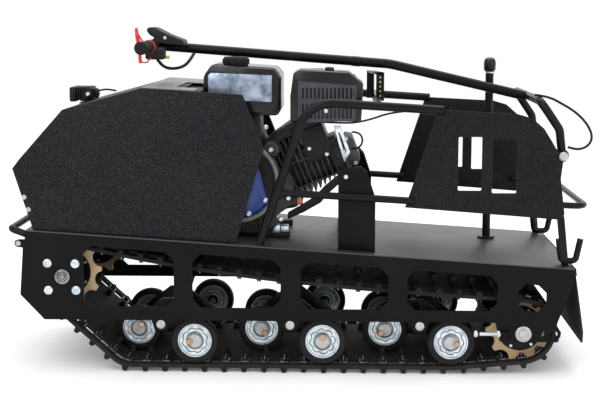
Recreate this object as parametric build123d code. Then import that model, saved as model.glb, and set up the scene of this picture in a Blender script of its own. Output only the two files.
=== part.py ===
from build123d import *
from math import acos, atan2, cos, hypot, pi, radians, sin, tan
import os

os.makedirs("parts", exist_ok=True)

# Sizes in mm. X runs to the rear, Y to the far side, Z up from the ground.

# General
SEAT = 0.3
SHEET = 3.0
PLATE_Y = 272.0
PANEL_Y = 250.0
HOOD_Y = 262.0
DECK_SLOPE = -0.066
DECK_X0 = -690.0
DECK_X1 = 692.0
DECK_Z_MID = 324.0

# Running gear
TRACK_HALF = 250.0
BAND = 7.0
LUG = 13.0
LUG_BASE = 22.0
LUG_TIP = 11.0
LUG_COUNT = 57
GUIDE_Y = (128.0, 142.0)
GUIDE_H = 18.0
ROLLER_R = 60.0
ROLLER_W = 28.0
ROLLER_BORE = 43.3
ROLLER_DISC = 43.0
ROLLER_Z = BAND + LUG + ROLLER_R + SEAT
ROLLER_PITCH = 162.6
ROLLER_X0 = -420.0
INNER_Y = 104.0
OUTER_Y = 233.0
AXLE_R = 10.0
SPROCKET = (-585.0, 251.0)
SPROCKET_R = 78.0
SPROCKET_RIM = 66.0
SPROCKET_TEETH = 11
IDLER = (570.0, 112.0)
IDLER_R = 80.0
IDLER_RIM = 68.0
IDLER_TEETH = 11
RING_Y = (-205.0, 0.0, 205.0)
RING_W = 12.0
SHAFT_R = 14.0
CROSS_X = (-338.7, -13.5, 311.7)
CROSS_Z = 130.0
CROSS_R = 10.0
ROCKER_Y = 180.0
ROCKER_T = 8.0

# Frame and handle
TUBE_R = 11.0
BAR_R = 10.0
PIVOT = (660.0, 556.0)
PIN_R = 6.0
LEG_Y = 228.0
HANDLE_R = 12.5
GRIP_X = -375.0
GRIP_Z = 812.0
GRIP_END = 285.0

parts = {}


def deck_z(x):
    """Height of the deck's top face at a place along the tug."""
    return DECK_Z_MID + DECK_SLOPE * x


def box(x0, x1, y0, y1, z0, z1):
    """Block between two corners."""
    shape = Box(x1 - x0, y1 - y0, z1 - z0)
    return Pos((x0 + x1) / 2, (y0 + y1) / 2, (z0 + z1) / 2) * shape


def prism(points, y0, y1):
    """Outline in X and Z, drawn out along Y."""
    face = make_face(Polyline(*[(x, 0, z) for x, z in points], close=True))
    solid = extrude(face, amount=y1 - y0, dir=(0, 1, 0))
    return Pos(0, y0, 0) * solid


def prism_x(points, x0, x1):
    """Outline in Y and Z, drawn out along X."""
    face = make_face(Polyline(*[(0, y, z) for y, z in points], close=True))
    solid = extrude(face, amount=x1 - x0, dir=(1, 0, 0))
    return Pos(x0, 0, 0) * solid


def rod(start, end, radius):
    """Round bar between two points."""
    a = Vector(*start)
    b = Vector(*end)
    plane = Plane(origin=a, z_dir=(b - a))
    return extrude(plane * Circle(radius), amount=(b - a).length)


def rod_y(x, z, radius, y0, y1):
    """Round bar along Y."""
    return rod((x, y0, z), (x, y1, z), radius)


def ring_y(x, z, outer, inner, y0, y1):
    """Round ring along Y."""
    return rod_y(x, z, outer, y0, y1) - rod_y(x, z, inner, y0 - 1, y1 + 1)


def bent(points, radius, bend):
    """Round tube along a line with rounded corners."""
    path = FilletPolyline(*points, radius=bend)
    start = path.edges()[0]
    plane = Plane(origin=start @ 0, z_dir=start % 0)
    return sweep(plane * Circle(radius), path=path)


def mirrored(shape):
    """The same piece on the far side."""
    return mirror(shape, about=Plane.XZ)


def both(shape):
    """One node with the near piece and its far twin."""
    return Compound(children=[*shape.solids(), *mirrored(shape).solids()])


def group(*shapes):
    """Several pieces that do not touch, in one node."""
    solids = []
    for shape in shapes:
        solids.extend(shape.solids())
    return Compound(children=solids)


def bolts_y(places, radius, y0, y1):
    """Row of round heads along Y."""
    return [rod_y(x, z, radius, y0, y1) for x, z in places]


# Track path
def tangent_angle(c1, r1, c2, r2):
    """Angle of the outward normal of a belt's straight run."""
    gap = hypot(c2[0] - c1[0], c2[1] - c1[1])
    heading = atan2(c2[1] - c1[1], c2[0] - c1[0])
    return heading - acos((r1 - r2) / gap)


def arc_points(centre, radius, a0, a1, count):
    """Points on an arc with their outward normal."""
    row = []
    for i in range(count + 1):
        a = a0 + (a1 - a0) * i / count
        row.append((centre[0] + radius * cos(a), centre[1] + radius * sin(a), a))
    return row


def track_path():
    """Inner face of the band as a closed row of points with normals."""
    rs = SPROCKET_R + SEAT
    rr = ROLLER_R + SEAT
    ri = IDLER_R + SEAT
    first = (ROLLER_X0, ROLLER_Z)
    last = (ROLLER_X0 + 5 * ROLLER_PITCH, ROLLER_Z)
    top_s = atan2(1.0, 0.24)
    top_i = atan2(1.0, 0.06)
    down = tangent_angle(SPROCKET, rs, first, rr)
    up = tangent_angle(last, rr, IDLER, ri)
    row = arc_points(SPROCKET, rs, top_s, down + 2 * pi, 24)
    row += arc_points(first, rr, down, -pi / 2, 6)
    row += arc_points(last, rr, -pi / 2, up, 5)
    row += arc_points(IDLER, ri, up, top_i, 24)
    x0, z0, _ = row[-1]
    x3, z3, _ = row[0]
    third = (x0 - x3) / 3
    x1 = x0 - third
    z1 = z0 + third * 0.06
    x2 = x3 + third
    z2 = z3 - third * 0.24
    for i in range(1, 20):
        t = i / 20
        s = 1 - t
        x = s ** 3 * x0 + 3 * s * s * t * x1 + 3 * s * t * t * x2 + t ** 3 * x3
        z = s ** 3 * z0 + 3 * s * s * t * z1 + 3 * s * t * t * z2 + t ** 3 * z3
        dx = 3 * (s * s * (x1 - x0) + 2 * s * t * (x2 - x1) + t * t * (x3 - x2))
        dz = 3 * (s * s * (z1 - z0) + 2 * s * t * (z2 - z1) + t * t * (z3 - z2))
        row.append((x, z, atan2(-dx, dz)))
    return row


def offset_row(row, depth):
    """Points moved out along their normals."""
    return [(x + depth * cos(a), z + depth * sin(a)) for x, z, a in row]


def places_along(points, count):
    """Evenly spaced places with the heading of the line there."""
    closed = points + [points[0]]
    lengths = [hypot(b[0] - a[0], b[1] - a[1]) for a, b in zip(closed, closed[1:])]
    pitch = sum(lengths) / count
    found = []
    walked = 0.0
    wanted = pitch / 2
    for a, b, length in zip(closed, closed[1:], lengths):
        while length > 0 and wanted < walked + length and len(found) < count:
            t = (wanted - walked) / length
            heading = atan2(b[1] - a[1], b[0] - a[0])
            found.append((a[0] + (b[0] - a[0]) * t, a[1] + (b[1] - a[1]) * t, heading))
            wanted += pitch
        walked += length
    return found


def bar_outline(place, base, tip, height, sink):
    """Tapered bar standing to the right of the line's heading."""
    x, z, a = place
    tx, tz = cos(a), sin(a)
    nx, nz = sin(a), -cos(a)
    corners = [(-base / 2, -sink), (-tip / 2, height), (tip / 2, height), (base / 2, -sink)]
    return [(x + u * tx + v * nx, z + u * tz + v * nz) for u, v in corners]


inner_row = track_path()
inner_line = offset_row(inner_row, 0)
outer_line = offset_row(inner_row, BAND)
track = prism(outer_line, -TRACK_HALF, TRACK_HALF)
track -= prism(inner_line, -TRACK_HALF - 1, TRACK_HALF + 1)
lugs = []
for place in places_along(outer_line, LUG_COUNT):
    lugs.append(prism(bar_outline(place, LUG_BASE, LUG_TIP, LUG, 1.5), -TRACK_HALF, TRACK_HALF))
for x, z, a in places_along(inner_line, LUG_COUNT):
    outline = bar_outline((x, z, a + pi), 16, 10, GUIDE_H, 1.5)
    lugs.append(prism(outline, GUIDE_Y[0], GUIDE_Y[1]))
    lugs.append(prism(outline, -GUIDE_Y[1], -GUIDE_Y[0]))
track += lugs
parts["track"] = track

# Side plates with windows
front_top = deck_z(DECK_X0) - SHEET - SEAT
rear_top = deck_z(DECK_X1) - SHEET - SEAT
plate = prism(
    [
        (DECK_X0, front_top),
        (-694, 318),
        (-695, 195),
        (-638, 134),
        (500, 136),
        (510, 94),
        (676, 86),
        (DECK_X1, 200),
        (DECK_X1, rear_top),
    ],
    -PLATE_Y,
    -PLATE_Y + SHEET,
)
WINDOWS = [
    (-511, -305, 327, 315, 173),
    (-258, -37, 309, 296, 172),
    (12, 232, 290, 277, 171),
    (280, 504, 273, 259, 170),
    (554, 625, 240, 236, 170),
]
CUT = 16.0
for x0, x1, z0, z1, low in WINDOWS:
    outline = [
        (x0 + CUT, z0),
        (x1 - CUT, z1),
        (x1, z1 - CUT),
        (x1, low + CUT),
        (x1 - CUT, low),
        (x0 + CUT, low),
        (x0, low + CUT),
        (x0, z0 - CUT),
    ]
    plate -= prism(outline, -PLATE_Y - 1, -PLATE_Y + SHEET + 1)
TOW_EYE = (646.0, 111.0)
TOW_R = 9.0
plate -= rod_y(TOW_EYE[0], TOW_EYE[1], TOW_R, -PLATE_Y - 1, -PLATE_Y + SHEET + 1)
plate -= rod_y(SPROCKET[0], SPROCKET[1], SHAFT_R + 1, -PLATE_Y - 1, -PLATE_Y + SHEET + 1)
plate -= rod_y(IDLER[0], IDLER[1], SHAFT_R + 1, -PLATE_Y - 1, -PLATE_Y + SHEET + 1)
for x in CROSS_X:
    plate -= rod_y(x, CROSS_Z, CROSS_R / 2 + 1, -PLATE_Y - 1, -PLATE_Y + SHEET + 1)
parts["side_plate_near"] = plate
parts["side_plate_far"] = mirrored(plate)

# Deck and tunnel end
deck = prism(
    [
        (DECK_X0, deck_z(DECK_X0)),
        (DECK_X1, deck_z(DECK_X1)),
        (DECK_X1, deck_z(DECK_X1) - SHEET),
        (DECK_X0, deck_z(DECK_X0) - SHEET),
    ],
    -PLATE_Y,
    PLATE_Y,
)
flange_y = PLATE_Y - SHEET - SEAT
flange = prism(
    [
        (DECK_X0 + 10, deck_z(DECK_X0) - 1),
        (DECK_X1 - 10, deck_z(DECK_X1) - 1),
        (DECK_X1 - 10, deck_z(DECK_X1) - 20),
        (DECK_X0 + 10, deck_z(DECK_X0) - 20),
    ],
    -flange_y,
    -flange_y + 2,
)
parts["deck"] = deck + flange + mirrored(flange)
wall_y = flange_y - 2 - SEAT
parts["front_wall"] = box(-693, -690, -wall_y, wall_y, 200, deck_z(DECK_X0) - SHEET - SEAT)

# Front bumper loop
BUMPER_R = 9.0
bumper_y = 240.0
parts["bumper"] = bent(
    [
        (-693 - SEAT, -bumper_y, 345),
        (-742, -bumper_y, 345),
        (-742, bumper_y, 345),
        (-693 - SEAT, bumper_y, 345),
    ],
    BUMPER_R,
    24,
)


def toothed(centre, rim, tip, teeth, y0, y1, bore):
    """Ring with flared teeth."""
    shape = rod_y(centre[0], centre[1], rim, y0, y1)
    for i in range(teeth):
        a = 2 * pi * i / teeth
        radial = (cos(a), sin(a))
        side = (-sin(a), cos(a))
        outline = []
        for r, w in [(rim - 3, -7), (tip - 5, -7), (tip, -11), (tip, 11), (tip - 5, 7), (rim - 3, 7)]:
            length = (r * r - w * w) ** 0.5 if r == tip else r
            x = centre[0] + length * radial[0] + w * side[0]
            z = centre[1] + length * radial[1] + w * side[1]
            outline.append((x, z))
        shape += prism(outline, y0, y1)
    return shape - rod_y(centre[0], centre[1], bore, y0 - 1, y1 + 1)


# Drive axle and rear axle
drive = rod_y(SPROCKET[0], SPROCKET[1], SHAFT_R, -PLATE_Y + SHEET + 2, PLATE_Y - SHEET - 2)
drive_rings = []
for y in RING_Y:
    wheel = toothed(SPROCKET, SPROCKET_RIM, SPROCKET_R, SPROCKET_TEETH, y - RING_W / 2, y + RING_W / 2, 44.3)
    drive_rings.append(wheel)
    hub = rod_y(SPROCKET[0], SPROCKET[1], 44, y - 8, y + 8)
    drive += hub
idler = rod_y(IDLER[0], IDLER[1], SHAFT_R, -PLATE_Y + SHEET + 2, PLATE_Y - SHEET - 2)
idler_rings = []
for y in RING_Y:
    wheel = toothed(IDLER, IDLER_RIM, IDLER_R, IDLER_TEETH, y - RING_W / 2, y + RING_W / 2, 36.3)
    idler_rings.append(wheel)
    idler += rod_y(IDLER[0], IDLER[1], 36, y - 8, y + 8)
parts["track_axles"] = group(drive, idler)
parts["sprockets"] = group(*drive_rings, *idler_rings)

# Bearings outside the side plates
face_y = -PLATE_Y - SEAT
flange_plate = box(-634, -540, face_y - 3, face_y, 203, 296)
flange_plate -= rod_y(SPROCKET[0], SPROCKET[1], 34, face_y - 4, face_y + 1)
cup = ring_y(SPROCKET[0], SPROCKET[1], 33.7, 18, face_y - 6, face_y)
cup += rod_y(SPROCKET[0], SPROCKET[1], 18.5, face_y - 9, face_y - 3)
BEARING_BOLTS = [(-622, 285), (-552, 285), (-623, 214), (-552, 213)]
heads = bolts_y(BEARING_BOLTS, 9, face_y - 9, face_y - 3)
parts["drive_bearings"] = both(group(flange_plate + heads, cup))

# Rear axle ends and tensioners
cap = rod_y(IDLER[0], IDLER[1], 20, face_y - 6, face_y)
outer_bolts = [cap + rod_y(IDLER[0], IDLER[1], 12, face_y - 14, face_y - 5)]
tension = rod((450, -PLATE_Y - 10, 112), (545, -PLATE_Y - 10, 112), 5)
tension += box(538, 549, -PLATE_Y - 18, face_y, 104, 120)
tension += box(500, 508, -PLATE_Y - 18, face_y, 104, 120)
parts["tensioners"] = both(tension)

# Rollers on rocker arms
roller_x = [ROLLER_X0 + i * ROLLER_PITCH for i in range(6)]
tyres = []
discs = []
for i, x in enumerate(roller_x):
    y = INNER_Y if i % 2 == 0 else OUTER_Y
    for side in (-1, 1):
        c = side * y
        tyre = rod_y(x, ROLLER_Z, ROLLER_R, c - ROLLER_W / 2, c + ROLLER_W / 2)
        tyre = chamfer(tyre.edges().filter_by(GeomType.CIRCLE), 3)
        tyre -= rod_y(x, ROLLER_Z, ROLLER_BORE, c - 20, c + 20)
        tyres.append(tyre)
        disc = rod_y(x, ROLLER_Z, ROLLER_DISC, c - 5, c + 5)
        disc += rod_y(x, ROLLER_Z, 23, c - 13, c + 13)
        disc -= rod_y(x, ROLLER_Z, AXLE_R + SEAT, c - 15, c + 15)
        discs.append(disc)
parts["roller_tyres"] = group(*tyres)
parts["roller_discs"] = group(*discs)
rockers = []
for i, cx in enumerate(CROSS_X):
    xa = roller_x[2 * i]
    xb = roller_x[2 * i + 1]
    for side in (-1, 1):
        y0 = side * ROCKER_Y - ROCKER_T / 2
        y1 = side * ROCKER_Y + ROCKER_T / 2
        arm = prism(
            [
                (xa - 18, 62),
                (xb + 18, 62),
                (xb + 18, 98),
                (cx + 24, 158),
                (cx - 24, 158),
                (xa - 18, 98),
            ],
            y0,
            y1,
        )
        arm -= rod_y(cx, CROSS_Z, CROSS_R + SEAT, y0 - 1, y1 + 1)
        rockers.append(arm)
inner_axles = []
for i, x in enumerate(roller_x):
    y = INNER_Y if i % 2 == 0 else OUTER_Y
    reach = max(y, ROCKER_Y) + 15
    inner_axles.append(rod_y(x, ROLLER_Z, AXLE_R, -reach, reach))
merged = []
for i in range(3):
    body = rockers[2 * i] + rockers[2 * i + 1] + inner_axles[2 * i] + inner_axles[2 * i + 1]
    merged.append(body)
parts["rocker_arms"] = group(*merged)
shafts = []
for x in CROSS_X:
    y = PLATE_Y - SHEET - SEAT
    bar = rod_y(x, CROSS_Z, CROSS_R, -y, y)
    shafts.append(bar)
parts["cross_shafts"] = group(*shafts)
for x in CROSS_X:
    outer_bolts.append(rod_y(x, CROSS_Z, 9, face_y - 5, face_y))

# Hood
hood_gap = 1.0
hood_low = [(-691, deck_z(-691) + hood_gap), (-148, deck_z(-148) + hood_gap)]
HOOD = [
    (-601, 668),
    (-404, 718),
    (-143, 703),
    (-85, 556),
    hood_low[1],
    hood_low[0],
    (-700, 499),
]
hood_side = prism(HOOD, -HOOD_Y, -HOOD_Y + SHEET)
parts["hood_side_near"] = hood_side
parts["hood_side_far"] = mirrored(hood_side)
skin_y = HOOD_Y - SHEET - SEAT
skin_out = [(-691, deck_z(-691) + 1), (-700, 499), (-601, 668), (-404, 718), (-290, 711.4)]
skin_in = [(-290, 708.4), (-404, 715), (-599, 665.5), (-696.8, 498), (-688, deck_z(-688) + 1)]
parts["hood_skin"] = prism(skin_out + skin_in, -skin_y, skin_y)
parts["hood_cap"] = prism(
    [(-389, 717.5), (-321, 744), (-290, 741), (-290, 712), (-321, 713.6)],
    -200,
    200,
)
HOOD_BOLTS = [(-679, 452), (-668, 419)]
outer_bolts += bolts_y(HOOD_BOLTS, 6, -HOOD_Y - SEAT - 4, -HOOD_Y - SEAT)
parts["outer_bolts"] = both(group(*outer_bolts))

# Lamp on the nose
lamp = box(-604, -560, -45, 45, 684, 720)
for i in range(5):
    x = -558 + i * 4
    lamp += box(x, x + 2, -42, 42, 686, 718)
lamp += box(-561, -538, -20, 20, 690, 714)
parts["lamp"] = lamp
bracket = box(-575, -545, -52, -48, 690, 712)
bracket += box(-575, -545, 48, 52, 690, 712)
bracket += box(-575, -545, -52, 52, 683, 683.7)
bracket += prism([(-575, 683.2), (-545, 683.2), (-545, 692), (-575, 692)], -52, -48)
bracket += prism([(-575, 683.2), (-545, 683.2), (-545, 692), (-575, 692)], 48, 52)
parts["lamp_bracket"] = bracket

# Engine
tilt = radians(15)
core_a = (-40.0, 470.0)
BASE_Z = 350.0


def foot_z(x):
    """Height of the engine's underside."""
    return BASE_Z - 0.056 * (x + 290)


fin_dir = (cos(tilt), sin(tilt))
fin_up = (-sin(tilt), cos(tilt))


def tilted(u0, u1, v0, v1, y0, y1):
    """Block along the slanting cylinder."""
    corners = []
    for u, v in [(u0, v0), (u1, v0), (u1, v1), (u0, v1)]:
        x = core_a[0] + u * fin_dir[0] + v * fin_up[0]
        z = core_a[1] + u * fin_dir[1] + v * fin_up[1]
        corners.append((x, z))
    return prism(corners, y0, y1)


def slant(u, v):
    """Point along the slanting cylinder and across it."""
    x = core_a[0] + u * fin_dir[0] + v * fin_up[0]
    z = core_a[1] + u * fin_dir[1] + v * fin_up[1]
    return (x, z)


base_rails = []
for y in (-110, 80):
    low = [(x, deck_z(x) + SEAT) for x in (-300, -10)]
    high = [(x, foot_z(x) - SEAT) for x in (-10, -300)]
    base_rails.append(prism(low + high, y, y + 30))
CYL_FACE = 52.0
parts["engine_block"] = prism(
    [
        (-290, foot_z(-290)),
        (-40, foot_z(-40)),
        (20, foot_z(-40) + 16),
        slant(CYL_FACE, -85),
        slant(CYL_FACE, 85),
        (-90, 600),
        (-230, 600),
        (-290, 540),
    ],
    -150,
    120,
)
core = tilted(CYL_FACE + SEAT, 160, -50, 50, -80, 80)
for i in range(9):
    u = 64 + i * 11
    core += tilted(u, u + 3.5, -82, 95, -120, 110)
parts["cylinder"] = core
parts["head_cover"] = tilted(160.5, 200, -62, 62, -70, 70)
parts["clutch_plate"] = rod_y(-177, 452, 92, -158, -150 - SEAT)
parts["clutch_rim"] = ring_y(-177, 452, 112, 94, -172, -150 - SEAT)
parts["exhaust_shroud"] = tilted(70, 158, -90, -82 - SEAT, -120, 90)
parts["cooling_shroud"] = tilted(60, 158, 95 + SEAT, 103, -120, 110)

# Tank, cap, muffler
tank = box(-268, -60, -130, 110, 645, 761)
tank = fillet(tank.edges().filter_by(Axis.Y), 22)
tank = fillet(tank.faces().sort_by(Axis.Y)[0].edges(), 10)
parts["tank"] = tank
parts["tank_cap"] = rod((-163, -76, 761 + SEAT), (-163, -76, 791), 34)
parts["muffler"] = box(-30, 112, -160, -20, 640, 752)
shield = box(-41, 122, -180, -160 - SEAT, 626, 762)
for row in range(2):
    for i in range(7):
        x = -20 + i * 18
        z = 650 + row * 52
        shield -= box(x, x + 7, -190, -160, z, z + 40)
parts["muffler_shield"] = shield


def stay(x0, x1, y0, y1, top):
    """Bracket standing on the slanting cooling shroud."""
    foot = []
    for x in (x0, x1):
        u = (x - core_a[0] + 103 * sin(tilt)) / cos(tilt)
        foot.append((x, core_a[1] + u * sin(tilt) + 103 * cos(tilt) + SEAT))
    return prism([*foot, (x1, top), (x0, top)], y0, y1)


parts["engine_brackets"] = group(
    *base_rails,
    box(-220, -200, -100, 80, 600 + SEAT, 645 - SEAT),
    box(-120, -100, -100, 80, 601, 645 - SEAT),
    stay(20, 50, -100, -60, 640 - SEAT),
    stay(10, 60, 40, 80, 640 - SEAT),
)
parts["air_cleaner"] = box(-40, 110, 0, 130, 640, 750)
starter = rod_y(-177, 452, 112, 120 + SEAT, 190)
parts["recoil_starter"] = starter

# Frame tubes
tube = bent([(-96, -251, 335), (-38, -251, 500), (40, -251, 690), (347.5, -251, 673)], TUBE_R, 30)
tube += rod((-48, -251, 470), (262, -251, 442), TUBE_R - 2)
parts["frame_tubes"] = both(tube)
hoop_bar = rod((205, -251 + TUBE_R + SEAT, 681), (205, 251 - TUBE_R - SEAT, 681), BAR_R)
hoop = bent([(205, -60, 690), (205, -60, 746), (205, 60, 746), (205, 60, 690)], 6, 14)
parts["support_hoop"] = hoop_bar + hoop

# Middle post plates
post_y = -251 + TUBE_R - 2 + SEAT
post_foot = [(106, deck_z(106) + SEAT), (198, deck_z(198) + SEAT)]
post = prism([*post_foot, (198, 515), (106, 515)], post_y, post_y + 32)
post -= box(109, 195, post_y + 3, post_y + 33, 300, 520)
parts["middle_posts"] = both(post)

# Cargo side panels with two plain slots
panel = prism(
    [
        (356, 684),
        (530, 674),
        (600, 640),
        (640, 580),
        (650, 580),
        (678, 575),
        (678, 540),
        (650, 520),
        (646, 392),
        (272, 422),
    ],
    -PANEL_Y - 1.5,
    -PANEL_Y + 1.5,
)
SLOTS = [(400, 462, 470, 610), (484, 546, 464, 604)]
for x0, x1, z0, z1 in SLOTS:
    panel -= box(x0, x1, -PANEL_Y - 3, -PANEL_Y + 3, z0, z1)
panel -= rod_y(PIVOT[0], PIVOT[1], PIN_R + 0.1, -PANEL_Y - 3, -PANEL_Y + 3)
parts["cargo_panel_near"] = panel
parts["cargo_panel_far"] = mirrored(panel)
upright = prism(
    [(646.8, 400), (668, 400), (690, deck_z(690) + SEAT), (671, deck_z(671) + SEAT)],
    -PANEL_Y - 2,
    -PANEL_Y + 6,
)

# Rear ring, hooks, flap
RING_R = 8.0
ring_y0 = PANEL_Y - 1.5 - SEAT - RING_R
parts["rear_ring"] = bent(
    [(600, -ring_y0, 425), (743, -ring_y0, 425), (743, ring_y0, 425), (600, ring_y0, 425)],
    RING_R,
    60,
)
hook = bent([(668, -150, 340), (700, -150, 344), (722, -150, 336), (722, -150, 300), (705, -150, 290)], 5, 8)
hook += prism([(665, deck_z(665) + SEAT), (671, deck_z(671) + SEAT), (671, 352), (665, 352)], -165, -135)
parts["rear_uprights"] = both(group(upright, hook))
parts["rear_flap"] = prism([(DECK_X1 + SEAT, 277), (DECK_X1 + SEAT + 3, 277), (722, 113), (719, 112)], -262, 262)
post_x = 515.0
knob = rod((post_x, 100, deck_z(post_x) + 1), (post_x, 100, 752), 12)
parts["lever_post"] = knob
parts["lever_knob"] = rod((post_x, 100, 752 + SEAT), (post_x, 100, 788), 16)

# Steering handle
spine = bent([(GRIP_X, 0, GRIP_Z), (250, 0, 770), (602, 0, 688)], HANDLE_R, 200)
yoke = bent(
    [
        (PIVOT[0], -LEG_Y, PIVOT[1]),
        (652, -LEG_Y, 620),
        (604, -LEG_Y, 690),
        (604, LEG_Y, 690),
        (652, LEG_Y, 620),
        (PIVOT[0], LEG_Y, PIVOT[1]),
    ],
    BAR_R,
    30,
)
eyes = rod_y(PIVOT[0], PIVOT[1], 16, -LEG_Y - 9, -LEG_Y + 9)
eyes += rod_y(PIVOT[0], PIVOT[1], 16, LEG_Y - 9, LEG_Y + 9)
crossbar = rod_y(GRIP_X, GRIP_Z, 11, -GRIP_END, GRIP_END)
handle = spine + yoke + eyes + crossbar
handle -= rod_y(PIVOT[0], PIVOT[1], PIN_R + 0.06, -LEG_Y - 20, -LEG_Y + 20)
handle -= rod_y(PIVOT[0], PIVOT[1], PIN_R + 0.06, LEG_Y - 20, LEG_Y + 20)
parts["handle_frame"] = handle
grip = ring_y(GRIP_X, GRIP_Z, 16, 11 + SEAT, -GRIP_END - 5, -165)
parts["grips"] = both(grip)
pin = rod_y(PIVOT[0], PIVOT[1], PIN_R, -PANEL_Y - 1.5 - SEAT, -LEG_Y + 12)
pin += rod_y(PIVOT[0], PIVOT[1], 11, -PANEL_Y - 9, -PANEL_Y - 1.5 - SEAT)
parts["pivot_bolts"] = both(pin)
parts["console"] = prism([(-388, 870), (-294, 833), (-294, 823.5), (-388, 823.5)], -110, -20)
parts["switch_box"] = box(-386, -347, -150, -118, 786, GRIP_Z - 11 - SEAT)
lever = prism([(-401, 870), (-395, 870), (-392, 832), (-388, 785), (-394, 785), (-398, 830)], -161, -155)
lever += ring_y(GRIP_X, GRIP_Z, 17, 11 + SEAT, -163, -153)
parts["throttle_lever"] = lever



def cord(points, radius):
    """Limp cable along hand-chosen points, corners as wide as they can be."""
    turns = []
    runs = [(Vector(*b) - Vector(*a)) for a, b in zip(points, points[1:])]
    for first_run, next_run in zip(runs, runs[1:]):
        turn = radians(first_run.get_angle(next_run))
        turns.append(0.45 * min(first_run.length, next_run.length) / tan(turn / 2))
    print("cord radii", [round(t, 1) for t in turns], "of", radius)
    path = FilletPolyline(*points, radius=turns)
    start = path.edges()[0]
    plane = Plane(origin=start @ 0, z_dir=start % 0)
    return sweep(plane * Circle(radius), path=path)


LOOP_POINTS = [
    (592, -204, 704.2),
    (625, -206, 700.6),
    (657, -212, 684),
    (692, -220, 663),
    (720, -228, 634),
    (733, -234, 603),
    (722, -238, 580),
    (694, -238, 570),
    (672, -236, 578),
]
parts["loop_cable"] = cord(LOOP_POINTS, 3.0)
CONTROL_POINTS = [
    (-352, -134, 782.8),
    (-345, -120, 769),
    (-322, -96, 762),
    (-296, -66, 768),
    (-282, -40, 786),
    (-276, -20, 800),
]
parts["control_cable"] = cord(CONTROL_POINTS, 4.0)
LAMP_POINTS = [
    (-537, 0, 700),
    (-522, 3, 704),
    (-506, 10, 703),
    (-492, 20, 699.5),
]
parts["lamp_lead"] = cord(LAMP_POINTS, 2.5)

for name, shape in parts.items():
    export_step(shape, "parts/" + name + ".step")
total = Compound(children=[p for shape in parts.values() for p in shape.solids()])
bounds = total.bounding_box()
print("nodes", len(parts), "bounds", bounds.min, bounds.max)
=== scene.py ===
"""Dresses the packed snow tug for a studio picture.

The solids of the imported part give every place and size. Each sub-assembly
is a class that adds what the solids leave out and gives its pieces their
finish. Lengths are metres, with X to the rear, Y to the far side, Z up.
"""

from __future__ import annotations

import logging
import math
from dataclasses import dataclass, field
from enum import Enum
from typing import Any, Iterable, Sequence

import bmesh
import bpy
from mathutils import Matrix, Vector
from mathutils.geometry import tessellate_polygon

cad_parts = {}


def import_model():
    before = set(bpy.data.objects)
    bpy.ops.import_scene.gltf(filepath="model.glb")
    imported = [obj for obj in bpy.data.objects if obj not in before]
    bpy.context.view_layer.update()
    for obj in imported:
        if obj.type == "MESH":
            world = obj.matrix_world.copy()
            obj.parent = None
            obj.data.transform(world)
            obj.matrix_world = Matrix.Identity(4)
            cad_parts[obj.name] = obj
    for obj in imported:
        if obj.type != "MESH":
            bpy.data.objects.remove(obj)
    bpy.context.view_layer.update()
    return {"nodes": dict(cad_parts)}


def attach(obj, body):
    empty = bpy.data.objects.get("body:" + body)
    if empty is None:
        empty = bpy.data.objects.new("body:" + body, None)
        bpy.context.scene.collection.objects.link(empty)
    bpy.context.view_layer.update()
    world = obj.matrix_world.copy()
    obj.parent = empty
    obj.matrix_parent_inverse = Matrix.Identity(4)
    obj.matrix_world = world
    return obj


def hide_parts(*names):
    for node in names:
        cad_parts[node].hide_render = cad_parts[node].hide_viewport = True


log = logging.getLogger("snow_tug")

MM = 0.001
SHARP = math.radians(32)
Colour = tuple[float, float, float]
Point = tuple[float, float, float]
Pair = tuple[float, float]


# Shader graph


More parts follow.
